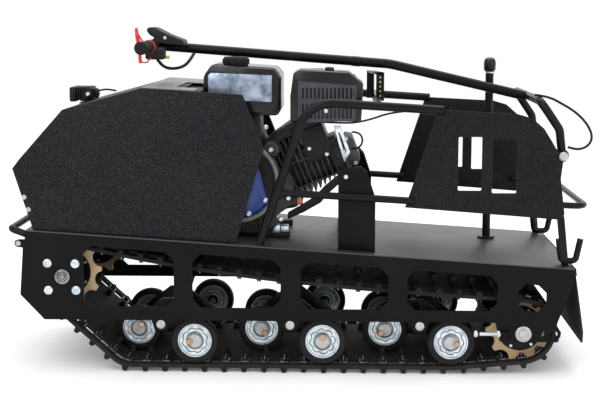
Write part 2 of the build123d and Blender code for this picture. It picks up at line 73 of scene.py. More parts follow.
class Graph:
    """One material's node tree and the single way to add a node to it."""

    def __init__(self, name: str) -> None:
        """Start an empty material with an output.

        Args:
            name: the material's name.
        """
        self.material = bpy.data.materials.new(name)
        self.material.use_nodes = True
        self.tree = self.material.node_tree
        self.tree.nodes.clear()
        self.output = self.tree.nodes.new("ShaderNodeOutputMaterial")
        self.place = self.node("ShaderNodeTexCoord").outputs["Object"]

    def node(
        self,
        kind: str,
        settings: dict[str, Any] | None = None,
        sockets: dict[str | int, Any] | None = None,
    ) -> bpy.types.Node:
        """Add a node.

        Args:
            kind: the node's type name.
            settings: properties that are set before the sockets.
            sockets: values or links by the socket's name or number.

        Returns:
            The new node.
        """
        made = self.tree.nodes.new(kind)
        for key, value in (settings or {}).items():
            setattr(made, key, value)
        for key, value in (sockets or {}).items():
            socket = made.inputs[key]
            if isinstance(value, Field):
                value = value.socket
            if isinstance(value, bpy.types.NodeSocket):
                self.tree.links.new(value, socket)
            elif isinstance(value, tuple) and len(value) == 3 and socket.type == "RGBA":
                socket.default_value = (*value, 1.0)
            else:
                socket.default_value = value
        return made

    def noise(self, scale: float, detail: float = 3.0, rough: float = 0.55) -> "Field":
        """Cloudy noise over the object's own coordinates.

        Args:
            scale: cells per metre.
            detail: octaves.
            rough: weight of the finer octaves.

        Returns:
            A field from about 0.2 to 0.8.
        """
        made = self.node(
            "ShaderNodeTexNoise",
            sockets={"Vector": self.place, "Scale": scale, "Detail": detail, "Roughness": rough},
        )
        return Field(self, made.outputs[0])

    def cells(self, scale: float) -> "Field":
        """Distance to the nearest of scattered points, for sparkle and pits.

        Args:
            scale: points per metre.

        Returns:
            A field that is 0 at each point.
        """
        made = self.node("ShaderNodeTexVoronoi", sockets={"Vector": self.place, "Scale": scale})
        return Field(self, made.outputs["Distance"])

    def axis(self, index: int) -> "Field":
        """One of the object's coordinates.

        Args:
            index: 0 for X, 1 for Y, 2 for Z.

        Returns:
            The coordinate in metres.
        """
        made = self.node("ShaderNodeSeparateXYZ", sockets={0: self.place})
        return Field(self, made.outputs[index])

    def mix(self, share: "Field | float", first: Any, second: Any) -> bpy.types.NodeSocket:
        """Blend two colours.

        Args:
            share: 0 for the first colour, 1 for the second.
            first: a colour or its link.
            second: a colour or its link.

        Returns:
            The blended colour's socket.
        """
        made = self.node(
            "ShaderNodeMix",
            {"data_type": "RGBA"},
            {0: share, 6: first, 7: second},
        )
        return made.outputs[2]

    def bump(self, height: "Field", depth: float) -> bpy.types.NodeSocket:
        """Turn a height field to a normal.

        Args:
            height: the field, 0 to 1.
            depth: its depth in metres.

        Returns:
            The normal's socket.
        """
        sockets: dict[str | int, Any] = {"Height": height, "Distance": depth, "Strength": 1.0}
        return self.node("ShaderNodeBump", sockets=sockets).outputs[0]

    def finish(self, sockets: dict[str | int, Any]) -> bpy.types.Material:
        """Add the principled shader and close the tree.

        Args:
            sockets: the shader's values and links.

        Returns:
            The material.
        """
        shader = self.node("ShaderNodeBsdfPrincipled", sockets=sockets)
        self.tree.links.new(shader.outputs[0], self.output.inputs[0])
        return self.material


@dataclass(frozen=True)
class Field:
    """A number that varies over the surface, with Python's arithmetic."""

    graph: Graph
    socket: bpy.types.NodeSocket

    def _math(self, operation: str, first: Any, second: Any) -> "Field":
        """Add a Math node for one operator and give its result."""
        made = self.graph.node("ShaderNodeMath", {"operation": operation}, {0: first, 1: second})
        return Field(self.graph, made.outputs[0])

    def __add__(self, other: Any) -> "Field":
        """Sum."""
        return self._math("ADD", self, other)

    __radd__ = __add__

    def __sub__(self, other: Any) -> "Field":
        """Difference."""
        return self._math("SUBTRACT", self, other)

    def __rsub__(self, other: Any) -> "Field":
        """Difference from the other side."""
        return self._math("SUBTRACT", other, self)

    def __mul__(self, other: Any) -> "Field":
        """Product."""
        return self._math("MULTIPLY", self, other)

    __rmul__ = __mul__

    def step(self, low: float, high: float) -> "Field":
        """Smooth rise from 0 to 1.

        Args:
            low: the value where it starts.
            high: the value where it ends.

        Returns:
            The risen field.
        """
        made = self.graph.node(
            "ShaderNodeMapRange",
            {"interpolation_type": "SMOOTHSTEP"},
            {0: self, 1: low, 2: high, 3: 0.0, 4: 1.0},
        )
        return Field(self.graph, made.outputs[0])


# Finishes


@dataclass(frozen=True)
class PowderCoat:
    """Black baked paint with a fine leather-like grain and a pale sparkle."""

    name: str
    colour: Colour = (0.0032, 0.0032, 0.0038)
    roughness: float = 0.42
    grain: float = 900.0
    depth: float = 0.00035
    sparkle: float = 0.05
    dusty: Colour = (0.02, 0.02, 0.022)
    dust: float = 0.02
    glint: Colour = (0.3, 0.3, 0.34)
    glints: float = 0.45
    shine: float = 0.1

    def material(self) -> bpy.types.Material:
        """Build the material.

        Returns:
            The finished material.
        """
        g = Graph(self.name)
        grain = g.noise(self.grain, 2.0)
        patches = g.noise(7.0, 4.0, 0.6)
        spark = 1.0 - g.cells(self.grain * self.glints).step(0.0, 0.32)
        worn = patches.step(0.42, 0.75)
        base = g.mix(worn * self.dust * 6.0, self.colour, self.dusty)
        base = g.mix(spark * self.sparkle, base, self.glint)
        return g.finish(
            {
                "Base Color": base,
                "Specular IOR Level": self.shine,
                "Roughness": self.roughness + grain * 0.12 + worn * 0.06 - 0.06,
                "Normal": g.bump(grain, self.depth),
            }
        )


@dataclass(frozen=True)
class Rubber:
    """Black rubber, dusted where it meets the ground."""

    name: str
    colour: Colour = (0.007, 0.007, 0.007)
    dusty: Colour = (0.045, 0.043, 0.04)
    roughness: float = 0.62
    dust: float = 0.3
    top: float = 0.35
    shine: float = 0.15

    def material(self) -> bpy.types.Material:
        """Build the material.

        Returns:
            The finished material.
        """
        g = Graph(self.name)
        cloud = g.noise(30.0, 5.0, 0.65)
        fine = g.noise(600.0, 2.0)
        low = 1.0 - g.axis(2).step(0.0, self.top)
        share = (cloud + low * 0.25).step(0.45, 0.85) * self.dust
        return g.finish(
            {
                "Base Color": g.mix(share, self.colour, self.dusty),
                "Specular IOR Level": self.shine,
                "Roughness": self.roughness + share * 0.25,
                "Normal": g.bump(fine, 0.0002),
            }
        )


@dataclass(frozen=True)
class Plated:
    """Zinc plated or bare metal with a soft clouded shine."""

    name: str
    colour: Colour = (0.62, 0.66, 0.7)
    second: Colour = (0.36, 0.4, 0.44)
    roughness: float = 0.28
    cloud: float = 55.0
    scratch: float = 0.00012

    def material(self) -> bpy.types.Material:
        """Build the material.

        Returns:
            The finished material.
        """
        g = Graph(self.name)
        cloud = g.noise(self.cloud, 4.0, 0.6)
        fine = g.noise(900.0, 2.0)
        share = cloud.step(0.35, 0.7)
        return g.finish(
            {
                "Base Color": g.mix(share, self.colour, self.second),
                "Metallic": 1.0,
                "Roughness": self.roughness + share * 0.16,
                "Normal": g.bump(fine, self.scratch),
            }
        )


@dataclass(frozen=True)
class Moulded:
    """Moulded plastic with a fine spark-eroded skin."""

    name: str
    colour: Colour = (0.015, 0.015, 0.016)
    second: Colour = (0.03, 0.03, 0.031)
    roughness: float = 0.45
    grain: float = 700.0
    depth: float = 0.00015
    shine: float = 0.5

    def material(self) -> bpy.types.Material:
        """Build the material.

        Returns:
            The finished material.
        """
        g = Graph(self.name)
        cloud = g.noise(18.0, 4.0)
        grain = g.noise(self.grain, 2.0)
        share = cloud.step(0.4, 0.75)
        return g.finish(
            {
                "Base Color": g.mix(share, self.colour, self.second),
                "Specular IOR Level": self.shine,
                "Roughness": self.roughness + share * 0.12,
                "Normal": g.bump(grain, self.depth),
            }
        )


@dataclass(frozen=True)
class Cast:
    """Sand-cast alloy, painted or bare, with a pitted skin."""

    name: str
    colour: Colour = (0.016, 0.0165, 0.0175)
    second: Colour = (0.05, 0.051, 0.053)
    roughness: float = 0.5
    metallic: float = 0.35

    def material(self) -> bpy.types.Material:
        """Build the material.

        Returns:
            The finished material.
        """
        g = Graph(self.name)
        cloud = g.noise(40.0, 5.0, 0.65)
        pits = g.noise(450.0, 3.0)
        share = cloud.step(0.4, 0.75)
        return g.finish(
            {
                "Base Color": g.mix(share, self.colour, self.second),
                "Metallic": self.metallic,
                "Roughness": self.roughness + share * 0.15,
                "Normal": g.bump(pits, 0.0006),
            }
        )


class Look(Enum):
    """The finishes of the tug, by what they cover."""

    PLATE = PowderCoat("plate_black", sparkle=0.02, roughness=0.4)
    HOOD = PowderCoat(
        "hood_black", (0.003, 0.003, 0.0048), grain=760.0, depth=0.0005, sparkle=0.5, shine=0.16
    )
    PANEL = PowderCoat("panel_black", grain=760.0, depth=0.0005, sparkle=0.25, shine=0.14)
    DECK = PowderCoat("deck_black", (0.03, 0.029, 0.027), roughness=0.36, shine=0.6)
    TUBE = PowderCoat("tube_black", roughness=0.26, depth=0.0001, sparkle=0.0, shine=0.16)
    TRACK = Rubber("track_rubber", dust=0.35)
    TYRE = Rubber("tyre_rubber", dust=0.15, roughness=0.5)
    GRIP = Rubber("grip_rubber", dust=0.05, roughness=0.55)
    CABLE = Rubber("cable_jacket", dust=0.03, roughness=0.4)
    FLAP = Rubber("flap_rubber", dust=0.25, colour=(0.02, 0.019, 0.017))
    ZINC = Plated("zinc_plate", (0.7, 0.76, 0.8), (0.46, 0.52, 0.57))
    HUB = Plated("hub_cap", colour=(0.5, 0.5, 0.5), second=(0.4, 0.4, 0.4), roughness=0.42)
    STEEL = Plated("bare_steel", colour=(0.3, 0.3, 0.31), second=(0.16, 0.16, 0.17), roughness=0.4)
    COPPER = Plated("grease_plug", colour=(0.58, 0.38, 0.24), second=(0.42, 0.28, 0.18))
    TAN = Moulded("sprocket_tan", (0.52, 0.37, 0.2), (0.42, 0.29, 0.16), 0.5)
    PLASTIC = Moulded("black_plastic", (0.006, 0.006, 0.0065), (0.014, 0.014, 0.0145), shine=0.22)
    GLOSS = Moulded(
        "gloss_black", (0.004, 0.004, 0.0045), (0.006, 0.006, 0.0065), 0.16, depth=0.00002, shine=0.3
    )
    RED = Moulded("lever_red", (0.62, 0.02, 0.015), (0.5, 0.015, 0.012), 0.25)
    ORANGE = Moulded("plug_orange", (0.75, 0.2, 0.05), (0.6, 0.15, 0.04), 0.4)
    BLUE = Moulded("clutch_blue", (0.02, 0.07, 0.36), (0.015, 0.05, 0.25), 0.3)
    LUG = Rubber("lug_rubber", dust=0.22, colour=(0.006, 0.006, 0.006))
    CLIP = Plated("track_clip", (0.34, 0.37, 0.42), (0.03, 0.03, 0.034), 0.3, 110.0)
    BRIGHT = Plated("bright_steel", (0.78, 0.84, 0.88), (0.6, 0.66, 0.7), 0.3)
    FOIL = Plated("blank_foil", (0.4, 0.46, 0.58), (0.12, 0.15, 0.22), 0.3, 28.0)
    BRASS = Plated("rivet_brass", (0.5, 0.42, 0.2), (0.35, 0.3, 0.15))
    RIM = Cast("clutch_rim", (0.2, 0.19, 0.19), (0.3, 0.29, 0.28), 0.4, 0.3)
    GRILLE = Cast("muffler_grille", (0.03, 0.03, 0.042), (0.05, 0.05, 0.066), 0.42, 0.2)
    TOP = Moulded("hood_top", (0.17, 0.178, 0.178), (0.2, 0.208, 0.208), 0.4)
    GLASS = Plated("lamp_glass", (0.6, 0.62, 0.64), (0.5, 0.52, 0.54), 0.08)
    TAG = Moulded("cable_tag", (0.5, 0.6, 0.05), (0.45, 0.5, 0.05))
    ENGINE = Cast("engine_cast")
    FIN = Cast("fin_cast", (0.02, 0.0205, 0.022), (0.09, 0.091, 0.095), 0.4, 0.5)
    COVER = Cast("valve_cover", (0.06, 0.062, 0.065), (0.11, 0.112, 0.115), 0.45, 0.6)


class Paints:
    """Materials made once and shared."""

    made: dict[Look, bpy.types.Material] = {}

    @classmethod
    def get(cls, look: Look) -> bpy.types.Material:
        """Give a look's material, making it the first time."""
        if look not in cls.made:
            cls.made[look] = look.value.material()
        return cls.made[look]

    @classmethod
    def dress(cls, obj: bpy.types.Object, look: Look) -> bpy.types.Object:
        """Give a whole piece one look.

        Args:
            obj: the piece.
            look: its finish.

        Returns:
            The same piece.
        """
        obj.data.materials.clear()
        obj.data.materials.append(cls.get(look))
        return obj


# Forms


def rounded(points: Sequence[Point], radius: float, chords: int = 8) -> list[Vector]:
    """Round the inner corners of an open line.

    Args:
        points: the line's corners.
        radius: the bend's radius, less where a run is short.
        chords: short straights in each bend.

    Returns:
        The line's points with its bends.
    """
    line = [Vector(points[0])]
    for before, corner, after in zip(points, points[1:], points[2:]):
        back = Vector(before) - Vector(corner)
        ahead = Vector(after) - Vector(corner)
        half = back.angle(ahead) / 2
        if half > math.radians(89.5):
            line.append(Vector(corner))
            continue
        reach = min(radius / math.tan(half), back.length * 0.49, ahead.length * 0.49)
        bend = reach * math.tan(half)
        back.normalize()
        ahead.normalize()
        centre = Vector(corner) + (back + ahead).normalized() * (bend / math.sin(half))
        first = (Vector(corner) + back * reach - centre).normalized()
        last = (Vector(corner) + ahead * reach - centre).normalized()
        line += [centre + first.slerp(last, i / chords) * bend for i in range(chords + 1)]
    line.append(Vector(points[-1]))
    return line


def settle(
    obj: bpy.types.Object, look: Look, body: str = "chassis", replaces: Iterable[str] = ()
) -> bpy.types.Object:
    """Finish a piece: its look, its body and the solids it stands for.

    Args:
        obj: the piece, in place.
        look: its finish.
        body: the body that it rides on.
        replaces: the solids that it is shown instead of.

    Returns:
        The same piece.
    """
    Paints.dress(obj, look)
    if obj.type == "MESH":
        obj.data.shade_smooth()
        obj.data.set_sharp_from_angle(angle=SHARP)
    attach(obj, body)
    names = list(replaces)
    if names:
        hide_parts(*names)
    count = len(obj.data.polygons) if obj.type == "MESH" else 0
    log.info("%s on %s, %d faces, stands for %s", obj.name, body, count, names or "nothing")
    return obj


class Shell:
    """Closed forms gathered for one piece, with lengths in millimetres."""

    def __init__(self) -> None:
        """Start with nothing."""
        self.mesh = bmesh.new()

    def _corner(self, place: Vector) -> bmesh.types.BMVert:
        """Add one corner."""
        return self.mesh.verts.new(place * MM)

    def _skin(self, rows: list[list[bmesh.types.BMVert]], closed: bool) -> None:
        """Join rows of corners; a row of one corner is a pole.

        Args:
            rows: the rows in order.
            closed: whether the last row joins the first.
        """
        pairs = list(zip(rows, rows[1:]))
        if closed:
            pairs.append((rows[-1], rows[0]))
        for low, high in pairs:
            count = max(len(low), len(high))
            for i in range(count if count > 1 else 0):
                j = (i + 1) % count
                corners: list[bmesh.types.BMVert] = []
                for row, k in ((low, i), (low, j), (high, j), (high, i)):
                    corner = row[k % len(row)]
                    if corner not in corners:
                        corners.append(corner)
                if len(corners) > 2:
                    self.mesh.faces.new(corners)

    def lathe(
        self, place: Point, profile: Sequence[Pair], axis: Point = (0, 1, 0), sides: int = 48
    ) -> "Shell":
        """Turn a profile round an axis.

        Args:
            place: where the axis starts.
            profile: places along the axis and radii; it starts and ends at 0, or is a loop.
            axis: the axis' direction.
            sides: facets round the axis.

        Returns:
            This shell.
        """
        along = Vector(axis).normalized()
        side = along.orthogonal().normalized()
        up = along.cross(side)
        rows = []
        for reach, radius in profile:
            centre = Vector(place) + along * reach
            if radius < 1e-6:
                rows.append([self._corner(centre)])
                continue
            turns = [2 * math.pi * i / sides for i in range(sides)]
            rows.append(
                [
                    self._corner(centre + (side * math.cos(t) + up * math.sin(t)) * radius)
                    for t in turns
                ]
            )
        self._skin(rows, profile[0][1] > 0)
        return self

    def disc(
        self,
        place: Point,
        radius: float,
        low: float,
        high: float,
        edge: float = 0.8,
        axis: Point = (0, 1, 0),
        sides: int = 48,
    ) -> "Shell":
        """Round solid with broken edges.

        Args:
            place: where the axis starts.
            radius: its radius.
            low: where it starts along the axis.
            high: where it ends.
            edge: width of the broken edges.
            axis: the axis' direction.
            sides: facets round the axis.

        Returns:
            This shell.
        """
        profile = [(low, 0), (low, radius - edge), (low + edge, radius)]
        profile += [(high - edge, radius), (high, radius - edge), (high, 0)]
        return self.lathe(place, profile, axis, sides)

    def ring(
        self,
        place: Point,
        outer: float,
        inner: float,
        low: float,
        high: float,
        edge: float = 0.8,
        axis: Point = (0, 1, 0),
        sides: int = 64,
    ) -> "Shell":
        """Round ring with broken edges.

        Args:
            place: where the axis starts.
            outer: its outer radius.
            inner: its inner radius.
            low: where it starts along the axis.
            high: where it ends.
            edge: width of the broken edges.
            axis: the axis' direction.
            sides: facets round the axis.

        Returns:
            This shell.
        """
        profile = [(low, inner + edge), (low, outer - edge), (low + edge, outer)]
        profile += [(high - edge, outer), (high, outer - edge), (high, inner + edge)]
        profile += [(high - edge, inner), (low + edge, inner)]
        return self.lathe(place, profile, axis, sides)

    def tube(
        self, points: Sequence[Point], radius: float, bend: float = 0.0, sides: int = 24
    ) -> "Shell":
        """Round bar along a line with bent corners.

        Args:
            points: the line's corners.
            radius: the bar's radius.
            bend: the radius of its bends.
            sides: facets round it.

        Returns:
            This shell.
        """
        line = rounded(points, bend) if bend else [Vector(p) for p in points]
        rows = []
        side = None
        for i, here in enumerate(line):
            ahead = (line[min(i + 1, len(line) - 1)] - line[max(i - 1, 0)]).normalized()
            side = ahead.orthogonal() if side is None else side - ahead * side.dot(ahead)
            side.normalize()
            up = ahead.cross(side)
            turns = [2 * math.pi * k / sides for k in range(sides)]
            rows.append(
                [self._corner(here + (side * math.cos(t) + up * math.sin(t)) * radius) for t in turns]
            )
        self._skin([[self._corner(line[0])], *rows, [self._corner(line[-1])]], False)
        return self

    def prism(
        self,
        outline: Sequence[Pair],
        low: float,
        high: float,
        bevel: float = 0.0,
        holes: Sequence[Sequence[Pair]] = (),
        axis: str = "Y",
    ) -> "Shell":
        """Flat outline drawn out along an axis, with holes and rounded edges.

        Args:
            outline: corners across the axis, in the order X, Y, Z.
            low: where it starts along the axis.
            high: where it ends.
            bevel: width of the rounded edges.
            holes: outlines that are cut through.
            axis: the axis' letter.

        Returns:
            This shell.
        """
        spots = {"X": (2, 0, 1), "Y": (0, 2, 1), "Z": (0, 1, 2)}[axis]
        made = bmesh.new()
        loops = [list(outline), *[list(hole) for hole in holes]]
        sheets = []
        for reach in (low, high):
            row = []
            for a, b in (corner for loop in loops for corner in loop):
                triple = (a, b, reach)
                row.append(made.verts.new(Vector(tuple(triple[k] for k in spots)) * MM))
            sheets.append(row)
        if holes:
            flat = [[Vector((a, b, 0.0)) for a, b in loop] for loop in loops]
            for corners in tessellate_polygon(flat):
                for row in sheets:
                    made.faces.new([row[k] for k in corners])
        else:
            for row in sheets:
                made.faces.new(row)
        start = 0
        for loop in loops:
            for k in range(len(loop)):
                i, j = start + k, start + (k + 1) % len(loop)
                made.faces.new([sheets[0][i], sheets[0][j], sheets[1][j], sheets[1][i]])
            start += len(loop)
        bmesh.ops.recalc_face_normals(made, faces=made.faces)
        if bevel:
            edges = [e for e in made.edges if e.calc_face_angle(0.0) > 0.35]
            bmesh.ops.bevel(
                made,
                geom=edges,
                offset=bevel * MM,
                segments=2,
                profile=0.5,
                affect="EDGES",
                clamp_overlap=True,
            )
        data = bpy.data.meshes.new("form")
        made.to_mesh(data)
        made.free()
        self.mesh.from_mesh(data)
        bpy.data.meshes.remove(data)
        return self

    def strip(self, lines: Sequence[Sequence[Point]]) -> "Shell":
        """Closed band between closed lines that run side by side.

        Args:
            lines: the lines, in order round the band's section.

        Returns:
            This shell.
        """
        self._skin([[self._corner(Vector(spot)) for spot in line] for line in lines], True)
        return self

    def block(self, x: Pair, y: Pair, z: Pair, bevel: float = 1.0) -> "Shell":
        """Box between two places on each axis, with rounded edges."""
        corners = [(x[0], z[0]), (x[1], z[0]), (x[1], z[1]), (x[0], z[1])]
        return self.prism(corners, y[0], y[1], bevel)

    def twin(self) -> "Shell":
        """Add the far side's copy of all that is there.

        Returns:
            This shell.
        """
        kept = self.mesh.verts[:] + self.mesh.edges[:] + self.mesh.faces[:]
        made = bmesh.ops.duplicate(self.mesh, geom=kept)
        for part in made["geom"]:
            if isinstance(part, bmesh.types.BMVert):
                part.co.y = -part.co.y
        return self

    def body(self, name: str) -> bpy.types.Object:
        """Close the shell to an object that is linked to the scene.

        Args:
            name: the object's name.

        Returns:
            The object.
        """
        bmesh.ops.recalc_face_normals(self.mesh, faces=self.mesh.faces)
        data = bpy.data.meshes.new(name)
        self.mesh.to_mesh(data)
        self.mesh.free()
        obj = bpy.data.objects.new(name, data)
        bpy.context.scene.collection.objects.link(obj)
        return obj

    def piece(
        self, name: str, look: Look, body: str = "chassis", replaces: Iterable[str] = ()
    ) -> bpy.types.Object:
        """Make the finished piece.

        Args:
            name: its plain name.
            look: its finish.
            body: the body that it rides on.
            replaces: the solids that it is shown instead of.

        Returns:
            The piece.
        """
        return settle(self.body(name), look, body, replaces)


@dataclass
class Repeat:
    """One form set at many places by a node group."""

    name: str
    form: Shell
    look: Look
    places: Sequence[tuple[Point, Point]]
    spread: float = 0.0
    seed: int = 7

    def _group(self) -> bpy.types.NodeTree:
        """Build the node group that sets the form at each place.

        Returns:
            The node group.
        """
        tree = bpy.data.node_groups.new(f"{self.name}_repeat", "GeometryNodeTree")
        for label, kind in (
            ("Places", "NodeSocketGeometry"),
            ("Form", "NodeSocketObject"),
            ("Seed", "NodeSocketInt"),
            ("Spread", "NodeSocketFloat"),
            ("Finish", "NodeSocketMaterial"),
        ):
            tree.interface.new_socket(label, in_out="INPUT", socket_type=kind)
        tree.interface.new_socket("Geometry", in_out="OUTPUT", socket_type="NodeSocketGeometry")
        source = tree.nodes.new("NodeGroupInput").outputs

        def add(kind: str, settings: dict[str, Any], links: dict[str | int, Any]) -> Any:
            """Add a node.

            Args:
                kind: the node's type name.
                settings: properties that are set first.
                links: values or links by the socket's name or number.

            Returns:
                The new node.
            """
            made = tree.nodes.new(kind)
            for key, value in settings.items():
                setattr(made, key, value)
            for key, value in links.items():
                if isinstance(value, bpy.types.NodeSocket):
                    tree.links.new(value, made.inputs[key])
                else:
                    made.inputs[key].default_value = value
            return made

        turn = add("GeometryNodeInputNamedAttribute", {"data_type": "FLOAT_VECTOR"}, {"Name": "turn"})
        euler = add("FunctionNodeEulerToRotation", {}, {0: turn.outputs[0]})
        low = add("ShaderNodeMath", {"operation": "SUBTRACT"}, {0: 1.0, 1: source["Spread"]})
        high = add("ShaderNodeMath", {"operation": "ADD"}, {0: 1.0, 1: source["Spread"]})
        scale = add(
            "FunctionNodeRandomValue",
            {"data_type": "FLOAT"},
            {2: low.outputs[0], 3: high.outputs[0], "Seed": source["Seed"]},
        )
        form = add("GeometryNodeObjectInfo", {}, {"Object": source["Form"]})
        spots = add(
            "GeometryNodeInstanceOnPoints",
            {},
            {
                "Points": source["Places"],
                "Instance": form.outputs["Geometry"],
                "Rotation": euler.outputs[0],
                "Scale": scale.outputs[1],
            },
        )
        real = add("GeometryNodeRealizeInstances", {}, {0: spots.outputs[0]})
        paint = add(
            "GeometryNodeSetMaterial", {}, {"Geometry": real.outputs[0], "Material": source["Finish"]}
        )
        add("NodeGroupOutput", {}, {0: paint.outputs[0]})
        return tree

    def piece(self, body: str = "chassis", replaces: Iterable[str] = ()) -> bpy.types.Object:
        """Make the finished piece from the node group's result.

        Args:
            body: the body that it rides on.
            replaces: the solids that it is shown instead of.

        Returns:
            The piece.
        """
        form = self.form.body(f"{self.name}_form")
        data = bpy.data.meshes.new(f"{self.name}_places")
        data.from_pydata([tuple(v * MM for v in place) for place, _ in self.places], [], [])
        turns = data.attributes.new("turn", "FLOAT_VECTOR", "POINT")
        for item, (_, turn) in zip(turns.data, self.places):
            item.vector = turn
        obj = bpy.data.objects.new(self.name, data)
        bpy.context.scene.collection.objects.link(obj)
        tree = self._group()
        modifier = obj.modifiers.new("repeat", "NODES")
        modifier.node_group = tree
        values = {
            "Form": form,
            "Seed": self.seed,
            "Spread": self.spread,
            "Finish": Paints.get(self.look),
        }
        for item in tree.interface.items_tree:
            if item.in_out == "INPUT" and item.name in values:
                modifier[item.identifier] = values[item.name]
        graph = bpy.context.evaluated_depsgraph_get()
        made = bpy.data.meshes.new_from_object(obj.evaluated_get(graph))
        obj.modifiers.remove(modifier)
        obj.data = made
        bpy.data.objects.remove(form)
        return settle(obj, self.look, body, replaces)


def cable(
    name: str,
    points: Sequence[Point],
    radius: float,
    look: Look,
    body: str = "chassis",
    replaces: Iterable[str] = (),
) -> bpy.types.Object:
    """Limp cable along chosen points.

    Args:
        name: its plain name.
        points: places along it in millimetres.
        radius: its radius in millimetres.
        look: its finish.
        body: the body that it rides on.
        replaces: the solids that it is shown instead of.

    Returns:
        The cable.
    """
    data = bpy.data.curves.new(name, "CURVE")
    data.dimensions = "3D"
    data.resolution_u = 12
    line = data.splines.new("NURBS")
    line.points.add(len(points) - 1)
    for spot, place in zip(line.points, points):
        spot.co = (*(v * MM for v in place), 1.0)
    line.order_u = 3
    line.use_endpoint_u = True
    obj = bpy.data.objects.new(name, data)
    bpy.context.scene.collection.objects.link(obj)
    wire = bpy.data.meshes.new_from_object(obj)
    bpy.data.meshes.remove(wire)
    data.bevel_depth = radius * MM
    data.bevel_resolution = 5
    data.use_fill_caps = True
    settle(obj, look, body, replaces)
    exit_place = tuple(v * MM for v in points[0])
    return obj


# Sub-assemblies, sizes in millimetres


def deck_z(x: float) -> float:
    """Height of the deck's top face at a place along the tug."""
    return 324.0 - 0.066 * x


@dataclass
class Belt:
    """The closed line that the track runs on."""

    front: Pair = (-585.0, 251.0)
    rear: Pair = (570.0, 112.0)
    wheel: float = 75.56
    roller: float = 60.3
    roller_z: float = 80.3
    rollers: Pair = (-420.0, 393.0)
    pitch: float = 50.3
    band: float = 9.0
    sag_front: float = 0.24
    sag_rear: float = 0.06
    steps: int = 30

    def _arc(self, centre: Pair, radius: float, a0: float, a1: float, count: int) -> list[Point]:
        """Points on an arc with the angle of their outward normal.

        Args:
            centre: the wheel's middle.
            radius: the arc's radius.
            a0: angle of the first point.
            a1: angle of the last point.
            count: runs between them.

        Returns:
            X, Z and angle of each.
        """
        turns = [a0 + (a1 - a0) * i / count for i in range(count + 1)]
        return [
            (centre[0] + radius * math.cos(a), centre[1] + radius * math.sin(a), a) for a in turns
        ]

    def _tangent(self, first: Pair, r1: float, last: Pair, r2: float) -> float:
        """Angle of the outward normal of a straight run between two wheels.

        Args:
            first: the first wheel's middle.
            r1: its radius.
            last: the last wheel's middle.
            r2: its radius.

        Returns:
            The angle in radians.
        """
        run = Vector(last) - Vector(first)
        return math.atan2(run.y, run.x) - math.acos((r1 - r2) / run.length)

    def rows(self) -> list[Point]:
        """Give the band's inner face, round the wheels and along the sagging top run.

        Returns:
            X, Z and the angle of the normal at each point.
        """
        first = (self.rollers[0], self.roller_z)
        last = (self.rollers[1], self.roller_z)
        top_front = math.atan2(1.0, self.sag_front)
        top_rear = math.atan2(1.0, self.sag_rear)
        down = self._tangent(self.front, self.wheel, first, self.roller)
        up = self._tangent(last, self.roller, self.rear, self.wheel)
        row = self._arc(self.front, self.wheel, top_front, down + 2 * math.pi, self.steps)
        row += self._arc(first, self.roller, down, -math.pi / 2, 6)
        row += self._arc(last, self.roller, -math.pi / 2, up, 5)
        row += self._arc(self.rear, self.wheel, up, top_rear, self.steps)
        x0, z0, _ = row[-1]
        x3, z3, _ = row[0]
        third = (x0 - x3) / 3
        x1, z1 = x0 - third, z0 + third * self.sag_rear
        x2, z2 = x3 + third, z3 - third * self.sag_front
        for i in range(1, self.steps):
            t = i / self.steps
            s = 1 - t
            x = s**3 * x0 + 3 * s * s * t * x1 + 3 * s * t * t * x2 + t**3 * x3
            z = s**3 * z0 + 3 * s * s * t * z1 + 3 * s * t * t * z2 + t**3 * z3
            dx = 3 * (s * s * (x1 - x0) + 2 * s * t * (x2 - x1) + t * t * (x3 - x2))
            dz = 3 * (s * s * (z1 - z0) + 2 * s * t * (z2 - z1) + t * t * (z3 - z2))
            row.append((x, z, math.atan2(-dx, dz)))
        return row

    def line(self, depth: float) -> list[Pair]:
        """Give the line at a depth outside the inner face."""
        return [(x + depth * math.cos(a), z + depth * math.sin(a)) for x, z, a in self.rows()]

    def places(self, share: float) -> list[Point]:
        """Give evenly spaced places on the band's middle with their heading.

        Args:
            share: the first place's share of a pitch.

        Returns:
            X, Z and heading of each.
        """
        row = self.line(self.band / 2)
        runs = list(zip(row, row[1:] + row[:1]))
        lengths = [math.dist(a, b) for a, b in runs]
        count = round(sum(lengths) / self.pitch)
        step = sum(lengths) / count
        found: list[Point] = []
        walked, wanted = 0.0, step * share
        for (a, b), length in zip(runs, lengths):
            while length > 0 and wanted < walked + length and len(found) < count:
                t = (wanted - walked) / length
                heading = math.atan2(b[1] - a[1], b[0] - a[0])
                found.append((a[0] + (b[0] - a[0]) * t, a[1] + (b[1] - a[1]) * t, heading))
                wanted += step
            walked += length
        return found


